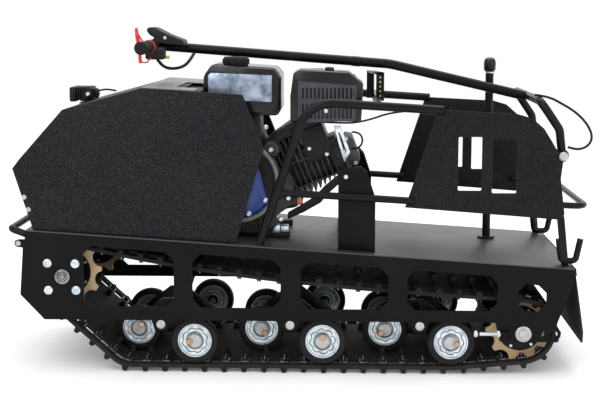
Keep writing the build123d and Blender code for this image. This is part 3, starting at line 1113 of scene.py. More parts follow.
@dataclass
class RunningGear:
    """Track, sprockets, rollers, rockers and side plates."""

    belt: Belt = field(default_factory=Belt)
    half: float = 250.0
    row_y: float = 205.0
    window: Pair = (24.1, 36.0)
    lug: float = 11.0
    lug_rows: tuple[Pair, ...] = ((-250, -226), (-184, -70), (-70, 70), (70, 184), (226, 250))
    clip: Pair = (9.5, 17.0)
    guide_y: float = 135.0
    plate_y: float = 272.0
    sheet: float = 3.0
    roller_xs: tuple[float, ...] = (-420.0, -257.4, -94.8, 67.8, 230.4, 393.0)
    inner_y: float = 104.0
    outer_y: float = 233.0
    cross_xs: tuple[float, ...] = (-338.7, -13.5, 311.7)
    cross_z: float = 130.0
    rocker_y: float = 78.0
    teeth: int = 10
    windows: tuple[tuple[float, ...], ...] = (
        (-532, -305, 329, 314, 174),
        (-258, -37, 309, 296, 173),
        (12, 232, 290, 277, 171),
        (280, 504, 273, 259, 170),
        (555, 625, 240, 236, 169),
    )
    window_cut: float = 20.0
    bearing: tuple[Pair, Pair] = ((-606, -541), (230, 270))
    eye: Point = (646.0, 111.0, 9.0)

    def build(self) -> None:
        """Make every piece of the running gear."""
        self.track()
        self.sprockets()
        self.rollers()
        self.rockers()
        self.side_plates()
        self.bearings()
        self.tensioners()

    def track(self) -> None:
        """Make the band with its windows, its lugs and its metal clips."""
        belt = self.belt
        shell = Shell()
        inner, outer = belt.line(0), belt.line(belt.band)
        low, high = self.row_y - self.window[1] / 2, self.row_y + self.window[1] / 2
        for y0, y1 in ((-self.half, -high), (-low, low), (high, self.half)):
            section = ((inner, y0), (inner, y1), (outer, y1), (outer, y0))
            shell.strip([[(a, y, b) for a, b in line] for line, y in section])
        shell.piece("track", Look.TRACK, replaces=["track"])
        spots = belt.places(0.5)
        half_bar = (belt.pitch - self.window[0]) / 2
        turned = [((x, 0.0, z), (0.0, -a, 0.0)) for x, z, a in spots]
        bars = Shell()
        for side in (-1, 1):
            y = (side * self.row_y - self.window[1] / 2, side * self.row_y + self.window[1] / 2)
            bars.block((-half_bar, half_bar), y, (-belt.band / 2 + 0.1, belt.band / 2 - 0.1), 1.0)
        Repeat("track_bars", bars, Look.TRACK, turned).piece()
        self._lugs(turned)
        self._clips(turned)

    def _lugs(self, turned: Sequence[tuple[Point, Point]]) -> None:
        """Make the lugs on the band's outer face.

        Args:
            turned: places and turns of the lugs.
        """
        deep = self.belt.band / 2 + self.lug
        lug = Shell()
        for y0, y1 in self.lug_rows:
            tall = deep if self.half in (-y0, y1) else deep - 1.0
            profile = [(-9, -3.5), (-5.4, 1.5 - tall), (-4.2, -tall), (4.2, -tall), (5.4, 1.5 - tall)]
            lug.prism([*profile, (9, -3.5)], y0 + 0.4, y1 - 0.4, 0.8)
        for y0, y1 in ((-226, -184), (184, 226)):
            lug.prism([(-9, -3.5), (-5, 2 - deep), (5, 2 - deep), (9, -3.5)], y0, y1, 0.8)
        Repeat("track_lugs", lug, Look.LUG, turned, 0.01, 11).piece()

    def _clips(self, turned: Sequence[tuple[Point, Point]]) -> None:
        """Make the metal clips, with bright strips that paint a highlight down each dark ear, and the
        rubber guides on the band's inner face.

        Args:
            turned: places and turns of the clips.
        """
        clip, ears = Shell(), Shell()
        top = self.belt.band / 2
        long, wide = self.clip
        ear = [(-8, top + 1), (-4.5, top + 12), (4.5, top + 12), (8, top + 1)]
        # rib is a painted highlight: a thin strip of bright clip metal down the middle of each dark ear.
        rib = [(-1.2, top + 3), (-0.8, top + 12.4), (0.8, top + 12.4), (1.2, top + 3)]
        for side in (-1, 1):
            mid = side * self.row_y
            clip.block((-long, long), (mid - wide, mid + wide), (top + 0.2, top + 1.8), 0.6)
            for y in (mid - 10.0, mid + 10.0):
                ears.prism(ear, y - 1.6, y + 1.6, 0.6)
                clip.prism(rib, y - 2, y + 2, 0.4)
            clip.block((-long, long), (mid - wide, mid - wide + 1.8), (-top - 1, top + 1), 0.5)
            clip.block((-long, long), (mid + wide - 1.8, mid + wide), (-top - 1, top + 1), 0.5)
        Repeat("track_clips", clip, Look.CLIP, turned).piece()
        Repeat("track_clip_ears", ears, Look.TUBE, turned).piece()
        guides = Shell()
        for side in (-1, 1):
            form = [(-9, top - 0.5), (-5, top + 16), (5, top + 16), (9, top - 0.5)]
            guides.prism(form, side * self.guide_y - 7, side * self.guide_y + 7, 1.5)
        Repeat("track_guides", guides, Look.TRACK, turned).piece()

    def _first(self, centre: Pair, wrap: float) -> float:
        """Direction of the window nearest to the middle of the band's wrap.

        Args:
            centre: the sprocket's middle.
            wrap: direction of the wrap's middle.

        Returns:
            The window's direction in radians.
        """
        row = []
        for x, z, _ in self.belt.places(0.0):
            a = math.atan2(z - centre[1], x - centre[0])
            row.append((abs((a - wrap + math.pi) % (2 * math.pi) - math.pi), a))
        return min(row)[1]

    def sprockets(self) -> None:
        """Make the tan sprockets with their flared teeth and bolted flanges."""
        table = [(3.6, 87.0), (4.8, 84.0), (6.2, 79.0), (9.0, 74.5), (13.0, 71.5), (18.0, 70.5)]
        wheels, flanges, screws = Shell(), Shell(), Shell()
        for centre, wrap in ((self.belt.front, 155.0), (self.belt.rear, 15.0)):
            first = self._first(centre, math.radians(wrap))
            outline = []
            for i in range(self.teeth):
                a = first + 2 * math.pi * i / self.teeth
                steps = [(-d, r) for d, r in reversed(table[:-1])] + table
                for degrees, r in steps:
                    t = a + math.radians(degrees)
                    outline.append((centre[0] + r * math.cos(t), centre[1] + r * math.sin(t)))
            turns = [2 * math.pi * i / 48 for i in range(48)]
            bore = [(centre[0] + 59 * math.cos(t), centre[1] + 59 * math.sin(t)) for t in turns]
            for side in (-1, 1):
                y = side * self.row_y
                wheels.prism(outline, y - 6, y + 6, 0.7, holes=[bore])
                flanges.disc((centre[0], 0, centre[1]), 58.8, y - 4, y + 4)
                flanges.disc((centre[0], 0, centre[1]), 30, y - 14, y + 14, 2.0)
                for k in range(6):
                    t = first + math.pi * k / 3
                    spot = (centre[0] + 51 * math.cos(t), 0, centre[1] + 51 * math.sin(t))
                    screws.disc(spot, 4.2, y - 7.5, y + 7.5, 0.8, sides=12)
        wheels.piece("sprockets", Look.TAN, replaces=["sprockets"])
        for centre in (self.belt.front, self.belt.rear):
            flanges.disc((centre[0], 0, centre[1]), 14, -274, 274, 1.0)
        flanges.piece("track_axles", Look.TUBE, replaces=["track_axles"])
        screws.piece("sprocket_screws", Look.ZINC)

    def _lobes(self, x: float, phase: float, grow: float) -> list[Pair]:
        """Outline of the eight round lobes that are pressed in a roller's disc.

        Args:
            x: the roller's place along the tug.
            phase: turn of the lobes.
            grow: what is added to the outline's radius.

        Returns:
            The outline's corners.
        """
        outline = []
        for t in (2 * math.pi * k / 96 for k in range(96)):
            r = 26.5 + 6.0 * abs(math.sin(4 * t + phase)) ** 0.6 + grow
            outline.append((x + r * math.cos(t), self.belt.roller_z + r * math.sin(t)))
        return outline

    def rollers(self) -> None:
        """Make the rubber tyres and their pressed discs, caps and grease plugs."""
        tyres, discs, pockets, caps, plugs, hubs = (Shell() for _ in range(6))
        for i, x in enumerate(self.roller_xs):
            y = self.inner_y if i % 2 == 0 else self.outer_y
            for side in (-1, 1):
                place = (x, side * y, self.belt.roller_z)
                profile = [(-10, 43.4), (-14, 45.5), (-14, 54), (-12.5, 57.6), (-9, 59.6), (-4, 60)]
                profile += [(4, 60), (9, 59.6), (12.5, 57.6), (14, 54), (14, 45.5), (10, 43.4)]
                tyres.lathe(place, profile, sides=72)
                axis = (0, side, 0)
                half = [(9.5, 43), (9.5, 40), (7, 38.5), (6.2, 34), (6.2, 24), (8, 22), (8, 0)]
                form = [(-a, r) for a, r in reversed(half)] + half
                discs.lathe(place, form, axis, 64)
                outer, inner = (self._lobes(x, 0.35 * i, grow) for grow in (1.0, -1.0))
                for face in (-1, 1):
                    y0, y1 = sorted((place[1] + face * 5.8, place[1] + face * 7.0))
                    pockets.prism(outer, y0, y1, holes=[inner])
                hubs.ring(place, 21.5, 19.5, -9.4, 9.4, 0.6, axis, 48)
                hubs.disc(place, 15, -13, -7, 1.0, axis, 40)
                caps.lathe(place, [(6, 0), (6, 18), (14.5, 18), (16.2, 16.4), (16.6, 0)], axis, 40)
                t = 0.9 + 2.3 * i + (1.2 if side > 0 else 0.0)
                spot = (x + 13 * math.cos(t), place[1], place[2] + 13 * math.sin(t))
                plugs.lathe(spot, [(12, 0), (12, 8), (19, 8), (20, 7), (20, 0)], axis, 24)
        tyres.piece("roller_tyres", Look.TYRE, replaces=["roller_tyres"])
        discs.piece("roller_discs", Look.ZINC, replaces=["roller_discs"])
        pockets.piece("roller_disc_beads", Look.TUBE)
        hubs.piece("roller_hub_seals", Look.TUBE)
        caps.piece("roller_caps", Look.HUB)
        plugs.piece("roller_grease_plugs", Look.COPPER)

    def rockers(self) -> None:
        """Make the rocker arms and their cross shafts."""
        arms, shafts = Shell(), Shell()
        for i, cx in enumerate(self.cross_xs):
            xa, xb = self.roller_xs[2 * i], self.roller_xs[2 * i + 1]
            outline = [(xa - 20, 62), (xb + 20, 62), (xb + 20, 92), (cx + 22, 154), (cx - 22, 154)]
            outline.append((xa - 20, 92))
            for side in (-1, 1):
                arms.prism(outline, side * self.rocker_y - 4, side * self.rocker_y + 4, 1.0)
            place = (cx, 0, self.cross_z)
            shafts.disc(place, 10, -268, 268, 1.0)
            shafts.ring(place, 17, 10.2, -96, -83, 1.0)
            shafts.ring(place, 17, 10.2, 83, 96, 1.0)
        for i, x in enumerate(self.roller_xs):
            reach = (self.inner_y if i % 2 == 0 else self.outer_y) + 4
            arms.disc((x, 0, self.belt.roller_z), 10, -reach, reach, 1.0)
        arms.piece("rocker_arms", Look.TUBE, replaces=["rocker_arms"])
        shafts.piece("cross_shafts", Look.TUBE, replaces=["cross_shafts"])

    def side_plates(self) -> None:
        """Make both side plates with their windows, eyes and tabs."""
        rear = [(500, 140), (512, 92), (636, 91), (650, 95), (662, 104), (664, 116), (653, 134)]
        outline = [(-676, 365), (-678, 345), (-694, 345), (-703, 341), (-704, 331), (-697, 325)]
        outline += [(-684, 324), (-684, 316), (-693.5, 204), (-634, 140)]
        for x in self.cross_xs:
            outline += [(x - 24, 140), (x - 15, 113), (x + 15, 113), (x + 24, 140)]
        outline += [*rear, (655, 143), (692, 240), (692, 275)]
        holes = []
        cut = self.window_cut
        for x0, x1, z0, z1, low in self.windows:
            hole = [(x0 + cut, z0), (x1 - cut, z1), (x1, z1 - cut), (x1, low + cut), (x1 - cut, low)]
            holes.append(hole + [(x0 + cut, low), (x0, low + cut), (x0, z0 - cut)])
        turns = [2 * math.pi * i / 32 for i in range(32)]
        x, z, radius = self.eye
        holes.append([(x + radius * math.cos(t), z + radius * math.sin(t)) for t in turns])
        (x0, x1), (z0, z1) = self.bearing
        holes.append([(x0, z0), (x1, z0), (x1, z1), (x0, z1)])
        holes.append([(590, 106), (622, 106), (622, 118), (590, 118)])
        for name, side in (("near", -1), ("far", 1)):
            shell = Shell()
            y = sorted((side * self.plate_y, side * (self.plate_y - self.sheet)))
            shell.prism(outline, y[0], y[1], 0.7, holes=holes)
            shell.piece(f"side_plate_{name}", Look.PLATE, replaces=[f"side_plate_{name}"])

    def bearings(self) -> None:
        """Make the drive bearings, the screws that hold them and the other outer bolts."""
        face = -self.plate_y
        blocks = Shell()
        blocks.block(self.bearing[0], (face + 0.6, face + 11), self.bearing[1], 0.8)
        blocks.twin().piece("drive_bearings", Look.PLATE, replaces=["drive_bearings"])
        cups = Shell()
        place = (self.belt.front[0], 0, self.belt.front[1])
        cups.ring(place, 19, 12.5, face - 8, face - 0.3, 1.2)
        cups.ring(place, 11.6, 7, face - 6, face - 0.3, 0.8)
        cups.disc(place, 6.5, face - 7, face - 0.3, 1.2)
        cups.twin().piece("bearing_cups", Look.STEEL)
        dome = Shell()
        shape = [(0.2, 0), (0.2, 12), (-2.0, 12), (-4.5, 10.6), (-6.2, 7), (-6.6, 5), (-5.2, 4)]
        dome.lathe((0, 0, 0), [*shape, (-5.2, 0)], sides=40)
        places = []
        for bx, bz in ((-622, 285), (-552, 284), (-621, 216), (-551, 216)):
            places += [((bx, face, bz), (0, 0, 0)), ((bx, -face, bz), (0, 0, math.pi))]
        Repeat("bearing_screws", dome, Look.ZINC, places, 0.01, 5).piece()
        bolts = Shell()
        head = [(face, 0), (face, 11), (face - 4, 11), (face - 6, 8), (face - 6, 0)]
        for cx in self.cross_xs:
            bolts.lathe((cx, 0, self.cross_z), head)
        rx, rz = self.belt.rear
        cap = [(face, 0), (face, 20), (face - 4, 20), (face - 6, 17.5), (face - 6, 12.5)]
        cap += [(face - 10, 12.5), (face - 11.5, 11), (face - 11.5, 7), (face - 9.5, 6), (face - 9.5, 0)]
        bolts.lathe((rx, 0, rz), cap)
        bolts.disc((-694, 0, 335), 6.5, face - 4, face - 0.1)
        for hx, hz in ((-678, 450), (-668, 419)):
            bolts.lathe((hx, 0, hz), [(-262, 0), (-262, 6.5), (-264.5, 6.5), (-267, 4), (-267, 0)])
        bolts.twin().piece("outer_bolts", Look.HUB, replaces=["outer_bolts"])

    def tensioners(self) -> None:
        """Make the screws that pull the rear axle back."""
        shell = Shell()
        z = 113
        for side in (-1, 1):
            y = side * (self.plate_y + 7)
            shell.tube([(446, y, z), (512, y, z)], 5, sides=20)
            for x in (447, 503):
                shell.disc((x, y, z), 9, 0, 7.5, 1.0, (1, 0, 0), 6)
        shell.piece("tensioners", Look.ZINC, replaces=["tensioners"])
        ears = Shell()
        ears.block((456, 460), (-self.plate_y - 13, -self.plate_y - 0.2), (105, 121), 0.5)
        ears.block((512, 533), (-self.plate_y - 11, -self.plate_y - 0.2), (107, 119), 0.8)
        ears.twin().piece("tensioner_stops", Look.PLATE)


@dataclass
class Body:
    """Deck, nose, hood, lamp and rear flap."""

    deck_x: Pair = (-676.0, 692.0)
    half: float = 272.0
    sheet: float = 3.0
    flange_y: Pair = (266.5, 268.5)
    flange: float = 20.0
    wall_y: float = 266.0
    hood_y: float = 262.0
    hood_foot: Pair = (-660.0, -150.0)
    hood_front: tuple[Pair, ...] = (
        (-660, 372),
        (-706, 522),
        (-688, 545),
        (-577, 668.5),
        (-381, 721.5),
    )
    hood_rear: tuple[Pair, ...] = ((-130, 707), (-77, 575))
    top_y: float = 258.0
    recess_y: Pair = (-172.0, 62.0)
    lamp_y: float = 45.0
    flap_y: float = 262.0

    def build(self) -> None:
        """Make every piece of the body."""
        self.deck()
        self.nose()
        self.hood()
        self.lamp()
        self.rear()

    def deck(self) -> None:
        """Make the deck with its folded edges."""
        x0, x1 = self.deck_x
        shell = Shell()
        z0, z1 = deck_z(x0), deck_z(x1)
        sheet = [(x0, z0), (x1, z1), (x1, z1 - self.sheet), (x0, z0 - self.sheet)]
        shell.prism(sheet, -self.half, self.half, 0.9)
        front, rear = x0 + 8, x1 - 8
        edge = [(front, deck_z(front) - 2.8), (rear, deck_z(rear) - 2.8)]
        edge += [(rear, deck_z(rear) - self.flange), (front, deck_z(front) - self.flange)]
        for side in (-1, 1):
            low, high = sorted(side * y for y in self.flange_y)
            shell.prism(edge, low, high, 0.5)
        shell.piece("deck", Look.DECK, replaces=["deck"])

    def nose(self) -> None:
        """Make the front wall and the bumper loop."""
        wall = Shell()
        outline = [(-677, 364), (-684.5, 316), (-693.2, 204), (-690.2, 204), (-681.5, 316), (-674, 364)]
        wall.prism(outline, -self.wall_y, self.wall_y, 0.8)
        wall.piece("front_wall", Look.PLATE, replaces=["front_wall"])
        loop = Shell()
        line = [(-681, -246, 354), (-720, -238, 366), (-720, 238, 366), (-681, 246, 354)]
        loop.tube(line, 9, 14)
        loop.piece("bumper", Look.TUBE, replaces=["bumper"])

    def hood(self) -> None:
        """Make the hood's sides, skin and top."""
        x0, x1 = self.hood_foot
        foot = [(x1, deck_z(x1) + 1), (x0, deck_z(x0) + 1)]
        outline = [*self.hood_front, *self.hood_rear, *foot]
        for name, side in (("near", -1), ("far", 1)):
            shell = Shell()
            low, high = sorted((side * self.hood_y, side * (self.hood_y - self.sheet)))
            shell.prism(outline, low, high, 0.8)
            shell.piece(f"hood_side_{name}", Look.HOOD, replaces=[f"hood_side_{name}"])
        skin = Shell()
        inner = [(-290, 713.2), (-381, 718.4), (-575.5, 665.6), (-685.5, 543), (-702.6, 521.4)]
        outer = [foot[1], *self.hood_front, (-290, 716.2)]
        back = x0 + self.sheet
        inner += [(back, 372.5), (back, deck_z(back) + 1)]
        half = self.hood_y - self.sheet - 0.6
        skin.prism(outer + inner, -half, half, 0.6)
        skin.piece("hood_skin", Look.HOOD, replaces=["hood_skin"])
        self._top()

    def _top(self) -> None:
        """Make the hood's pale top with the recess in front of the tank."""
        near, far = self.recess_y
        top = Shell()
        line = [(-380, 721.8), (-306, 717.8), (-306, 720.4), (-380, 724.4)]
        top.prism(line, -self.top_y, self.top_y, 0.8)
        line = [(-307, 717.8), (-250, 714.6), (-250, 717.2), (-307, 720.4)]
        for low, high in ((-self.top_y, near + 2), (far - 2, self.top_y)):
            top.prism(line, low, high, 0.8)
        top.piece("hood_cap", Look.TOP, replaces=["hood_cap"])
        recess = Shell()
        recess.prism([(-306, 708), (-246, 705), (-246, 707.5), (-306, 710.5)], near, far, 0.5)
        recess.piece("hood_cap_recess", Look.PLASTIC)
        edge = Shell()
        edge.tube([(-133, -256, 703), (-81, -256, 575), (-124, -256, 430)], 3.0, sides=10)
        edge.twin().piece("hood_edges", Look.TUBE)

    def lamp(self) -> None:
        """Make the finned lamp on the nose and its bracket."""
        body = Shell()
        body.block((-604, -587), (-self.lamp_y, self.lamp_y), (674, 712), 3.0)
        for k in range(6):
            x = -584.5 + k * 6.0
            body.block((x, x + 3.2), (-43, 43), (677.5, 712), 0.9)
        body.block((-588, -548), (-36, 36), (682, 709), 2.0)
        body.block((-549, -538), (-18, 18), (686, 707), 3.0)
        body.piece("lamp", Look.PLASTIC, replaces=["lamp"])
        glass = Shell()
        glass.block((-605.6, -603.4), (-41, 41), (678, 708), 1.0)
        glass.piece("lamp_lens", Look.GLASS)
        arms = Shell()
        arm = [(-575, 675), (-545, 679), (-541, 689), (-544, 702), (-556, 706), (-566, 700)]
        for side in (-1, 1):
            arms.prism(arm, side * 50 - 2, side * 50 + 2, 0.8)
        foot = [(-577, 668.9), (-545, 677.6), (-545, 681), (-577, 672.3)]
        arms.prism(foot, -52, 52, 0.5)
        arms.piece("lamp_bracket", Look.TUBE, replaces=["lamp_bracket"])
        screws = Shell()
        head = [(0, 0), (0, 5.5), (2.5, 5.5), (4, 3.5), (4, 0)]
        for side in (-1, 1):
            screws.lathe((-553, side * 52, 694), head, (0, side, 0))
        screws.piece("lamp_screws", Look.ZINC)

    def rear(self) -> None:
        """Make the rubber flap behind the track."""
        shell = Shell()
        line = [(692.3, 277), (695.3, 277), (707, 205), (721, 115), (720, 88), (716, 88), (716, 116)]
        shell.prism([*line, (703, 205)], -self.flap_y, self.flap_y, 0.8)
        shell.piece("rear_flap", Look.FLAP, replaces=["rear_flap"])
        strip = Shell()
        half = self.flap_y - 4
        strip.prism([(695.5, 276), (699, 276), (701.5, 258), (698, 258)], -half, half, 0.6)
        strip.piece("flap_strip", Look.PLATE)


@dataclass
class Engine:
    """The open engine with its tank, air cleaner and muffler."""

    crank: Pair = (-152.0, 479.0)
    tilt: float = math.radians(22)
    foot: Pair = (-40.0, 478.0)
    head: float = 168.0
    fins: int = 10
    fin: float = 3.6
    fin_y: Pair = (-120.0, 110.0)
    case_y: Pair = (-150.0, 120.0)
    rail_ys: Pair = (-110.0, 80.0)
    plate_face: float = -150.3
    tank_y: Pair = (-130.0, 110.0)
    cap: Point = (-160.5, -76.0, 769.0)
    cap_ribs: int = 24
    muffler_y: Pair = (-178.0, -24.0)
    slot: Pair = (5.0, 10.0)
    slots: int = 13

    def slant(self, u: float, v: float) -> Pair:
        """Point of the leaning cylinder.

        Args:
            u: place along it, from its foot.
            v: place across it.

        Returns:
            X and Z.
        """
        x = self.foot[0] + u * math.cos(self.tilt) - v * math.sin(self.tilt)
        return (x, self.foot[1] + u * math.sin(self.tilt) + v * math.cos(self.tilt))

    def lean(self, u0: float, u1: float, v0: float, v1: float) -> list[Pair]:
        """Outline of a block that leans with the cylinder, between places along and across it."""
        return [self.slant(u0, v0), self.slant(u1, v0), self.slant(u1, v1), self.slant(u0, v1)]

    def build(self) -> None:
        """Make every piece of the engine."""
        self.crankcase()
        self.cylinder()
        self.shrouds()
        self.clutch()
        self.tank()
        self.muffler()
        self.far_side()

    def crankcase(self) -> None:
        """Make the crankcase with its bosses, filler plug and bolts."""
        case = Shell()
        outline = [(-290, 350), (-70, 338), (-58, 384), self.slant(8, -66), self.slant(8, 66)]
        outline += [(-88, 548), (-96, 600), (-230, 600), (-290, 540)]
        face, back = self.case_y
        case.prism(outline, face, back, 7)
        for x, z, r in ((-40, 470, 34), (-66, 560, 20), (-68, 372, 16)):
            case.lathe((x, face, z), [(8, 0), (8, r + 3), (-7, r), (-9, r - 3), (-9, 0)])
        case.lathe((-8, -120, 421), [(-28, 0), (-28, 17), (0, 15), (8, 12), (8, 0)], (1, 0, 0.1))
        for x in range(-100, -52, 12):
            rib = [(x, 352), (x + 4, 352), (x + 12, 520), (x + 8, 520)]
            case.prism(rib, face - 6, face + 1, 1)
        case.piece("engine_block", Look.ENGINE, replaces=["engine_block"])
        self._case_bolts()
        self._rails()

    def _case_bolts(self) -> None:
        """Make the oil filler's plug and the bolts of the crankcase and cowl."""
        plug = Shell()
        plug.lathe((0, -120, 421), [(0, 0), (0, 8.5), (12, 8.5), (14, 7), (14, 0)], (1, 0, 0.1), 24)
        plug.piece("filler_plug", Look.ORANGE)
        bolts = Shell()
        rows = [(-22, 435, -152), (-41, 381, -158), (-80, 616, -140), (-66, 560, -160)]
        for x, z, y in rows:
            bolts.lathe((x, y, z), [(6, 0), (6, 7), (-4, 7), (-6, 5), (-6, 0)], sides=6)
        for x, z, y in ((31, 560, -126), (76, 546, -126), (124, 489, -138)):
            bolts.lathe((x, y, z), [(6, 0), (6, 6), (-3, 6), (-5, 4), (-5, 0)], sides=20)
        bolts.block((-62, -44), (-148, -120), (344, 364), 1.5)
        bolts.block((-42, -22), (-148, -116), (346, 362), 1.5)
        bolts.piece("engine_bolts", Look.ZINC)

    def _rails(self) -> None:
        """Make the rails under the engine and the brackets of tank and muffler."""
        rails = Shell()
        for y in self.rail_ys:
            low = [(-300, deck_z(-300) + 0.3), (-20, deck_z(-20) + 0.3)]
            high = [(-20, deck_z(-20) + 15), (-72, 337.6), (-300, 350.2)]
            rails.prism(low + high, y, y + 30, 1.0)
        for x in (-220, -120):
            rails.block((x, x + 20), (-100, 80), (598, 646), 1.5)
        rails.block((8, 52), (-96, -60), (630, 642), 1.0)
        rails.block((8, 52), (40, 80), (630, 642), 1.0)
        rails.piece("engine_brackets", Look.ENGINE, replaces=["engine_brackets"])

    def cylinder(self) -> None:
        """Make the finned cylinder, the valve cover and the bright guard."""
        core = Shell()
        core.prism(self.lean(7, self.head, -40, 52), -82, 82, 4)
        near, far = self.fin_y
        pitch = (self.head - 23) / self.fins
        for k in range(self.fins):
            u = 12 + k * pitch
            core.prism(self.lean(u, u + self.fin, -76 + 0.26 * (u - 12), 96), near, far, 1.1)
        for v in (-40, 26):
            core.prism(self.lean(14, self.head - 10, v, v + 5), near + 7, far - 7, 1.0)
        core.piece("cylinder", Look.FIN, replaces=["cylinder"])
        cover = Shell()
        line = [(-24, 0), (-38, 12), (-38, 30), (-28, 40), (28, 40), (36, 32), (36, 0)]
        cover.prism([self.slant(self.head + u, v) for v, u in line], -80, 80, 3.5)
        cover.prism(self.lean(self.head - 1, self.head + 9, -44, 44), -88, 88, 2)
        cover.piece("head_cover", Look.COVER, replaces=["head_cover"])
        guard = Shell()
        outer = [(93, 620), (111, 620), (136, 552), (121.5, 526), (113, 552)]
        hole = [(102, 610), (107, 610), (126, 555), (122, 547)]
        guard.prism(outer, -133, -129.5, 0.8, holes=[hole])
        for v in (0, 60):
            guard.prism(self.lean(self.head + 8, self.head + 11, v, v + 14), -130, -80, 0.6)
        guard.piece("cylinder_guard", Look.BRIGHT)
        bolts = Shell()
        for v in (-34, 34):
            x, z = self.slant(self.head + 24, v)
            for y in (-81, 81):
                bolts.disc((x, y, z), 6, -5, 5, 1, sides=6)
        bolts.piece("cover_bolts", Look.ZINC)

    def shrouds(self) -> None:
        """Make the air duct below the cylinder and the cowl over it."""
        duct = Shell()
        top = [(146, 515), (104, 492), (70, 463), (45, 436), (10, 414), (-25, 394)]
        low = [(-25, 376), (18, 396), (60, 420), (86, 450), (120, 480), (168, 515)]
        duct.prism(top + low, self.fin_y[0] - 15, self.fin_y[0] - 0.4, 3)
        duct.piece("exhaust_shroud", Look.PLASTIC, replaces=["exhaust_shroud"])
        cowl = Shell()
        line = [self.slant(9, 97), (-84, 553), (-82, 577), (-8, 630), (62, 630), (62, 624.6)]
        cowl.prism([*line, self.slant(128, 97)], *self.fin_y, 4)
        cowl.prism([(-92, 560), (-20, 612), (-12, 604), (-80, 552)], -128, -118, 1.5)
        cowl.prism(self.lean(86, 150, 14, 99), -126, -120.3, 3)
        cowl.piece("cooling_shroud", Look.PLASTIC, replaces=["cooling_shroud"])

    def clutch(self) -> None:
        """Make the light rim, the blue plate on the engine's drive side and the black sheet that paints
        shade over the plate's rear part.
        """
        x, z = self.crank
        back = self.plate_face
        plate, rim, painted_shade, bolts = (Shell() for _ in range(4))
        form = [(back, 0), (back, 95), (-157, 95), (-160, 90), (-161, 40), (-156, 36), (-156, 0)]
        plate.lathe((x, 0, z), form)
        plate.piece("clutch_plate", Look.BLUE, replaces=["clutch_plate"])
        form = [(back, 96), (back, 107), (-168, 107), (-172, 104.5), (-172, 100), (-168, 96)]
        rim.lathe((x, 0, z), form, sides=96)
        # Painted shade: a black sheet laid just in front of the rear part of the blue plate.
        outline = [(-124, 566), (-93, 502), (-77, 436), (-66, 440), (-58, 480), (-70, 525)]
        painted_shade.prism([*outline, (-95, 553)], -163.5, -161.5, 0.6)
        painted_shade.piece("clutch_shade", Look.PLASTIC)
        rim.piece("clutch_rim", Look.RIM, replaces=["clutch_rim"])
        for bx, bz in ((-81, 430), (-124, 395), (-222, 430), (-180, 395), (-100, 540), (-204, 540)):
            shape = [(-158, 0), (-158, 7.5), (-164, 7.5), (-166.5, 4.5), (-166.5, 0)]
            bolts.lathe((bx, 0, bz), shape, sides=24)
        bolts.piece("clutch_bolts", Look.BRIGHT)

    def tank(self) -> None:
        """Make the tank, its blank foil plate and its ribbed cap."""
        shell = Shell()
        line = [(-244, 660), (-236, 645), (-52, 645), (-44, 654), (-44, 746), (-60, 764), (-219, 775)]
        face = self.tank_y[0]
        shell.prism([*line, (-240, 746)], *self.tank_y, 6)
        shell.piece("tank", Look.GLOSS, replaces=["tank"])
        label = Shell()
        outline = [(-228, 684), (-226, 686), (-68, 680), (-65, 682), (-65, 748), (-220, 754)]
        label.prism([*outline, (-228, 748)], face - 1.3, face - 0.2, 0.4)
        label.piece("tank_blank_plate", Look.FOIL)
        cap = Shell()
        x, y, z = self.cap
        form = [(0, 0), (0, 31), (6, 33), (20, 33), (24.5, 30), (25, 0)]
        cap.lathe(self.cap, form, (0, 0, 1), 48)
        for k in range(self.cap_ribs):
            t = 2 * math.pi * k / self.cap_ribs
            spot = (x + 33 * math.cos(t), y + 33 * math.sin(t), z + 6)
            cap.disc(spot, 2.2, 0, 13, 0.8, (0, 0, 1), 10)
        cap.piece("tank_cap", Look.PLASTIC, replaces=["tank_cap"])

    def muffler(self) -> None:
        """Make the muffler, its slotted housing and the knob on top."""
        core = Shell()
        core.block((-6, 150), (-158, -20), (642, 748), 6)
        core.piece("muffler", Look.TUBE, replaces=["muffler"])
        housing = Shell()
        line = [(-16, 634), (-16, 698), (-8, 756), (7, 763), (132, 757), (168, 729), (166, 686)]
        face, back = self.muffler_y
        housing.prism([*line, (163, 634)], face, back, 4)
        housing.disc((82, -100, 756), 12, 0, 12, 3, (0, 0, 1), 24)
        housing.piece("muffler_shield", Look.GLOSS, replaces=["muffler_shield"])
        panel = Shell()
        holes = []
        wide, pitch = self.slot
        for z0, z1 in ((643, 680), (692, 719)):
            for x in (14 + k * pitch for k in range(self.slots)):
                holes.append([(x, z0), (x + wide, z0), (x + wide, z1), (x, z1)])
        outline = [(4, 631), (148, 637), (152, 725), (4, 736)]
        panel.prism(outline, face - 5, face - 0.4, 1.0, holes=holes)
        panel.piece("muffler_grille", Look.GRILLE)

    def far_side(self) -> None:
        """Make the air cleaner and the hand starter on the far side."""
        cleaner = Shell()
        line = [(-10, 642), (108, 642), (108, 732), (98, 746), (8, 750), (-10, 736)]
        cleaner.prism(line, 2, 130, 6)
        cleaner.disc((50, 66, 746), 16, 0, 12, 2, (0, 0, 1), 24)
        cleaner.piece("air_cleaner", Look.PLASTIC, replaces=["air_cleaner"])
        starter = Shell()
        x, z = self.crank
        form = [(120.3, 0), (120.3, 108), (150, 108), (168, 98), (182, 84), (184, 60), (184, 0)]
        starter.lathe((x, 0, z), form, sides=64)
        for k in range(16):
            t = 2 * math.pi * k / 16
            spot = (x + 70 * math.cos(t), 184, z + 70 * math.sin(t))
            starter.ring(spot, 8, 5.5, -1, 2, 0.5, sides=20)
        starter.ring((x, 184, z), 34, 28, -1, 4, 1, sides=40)
        starter.piece("recoil_starter", Look.PLASTIC, replaces=["recoil_starter"])


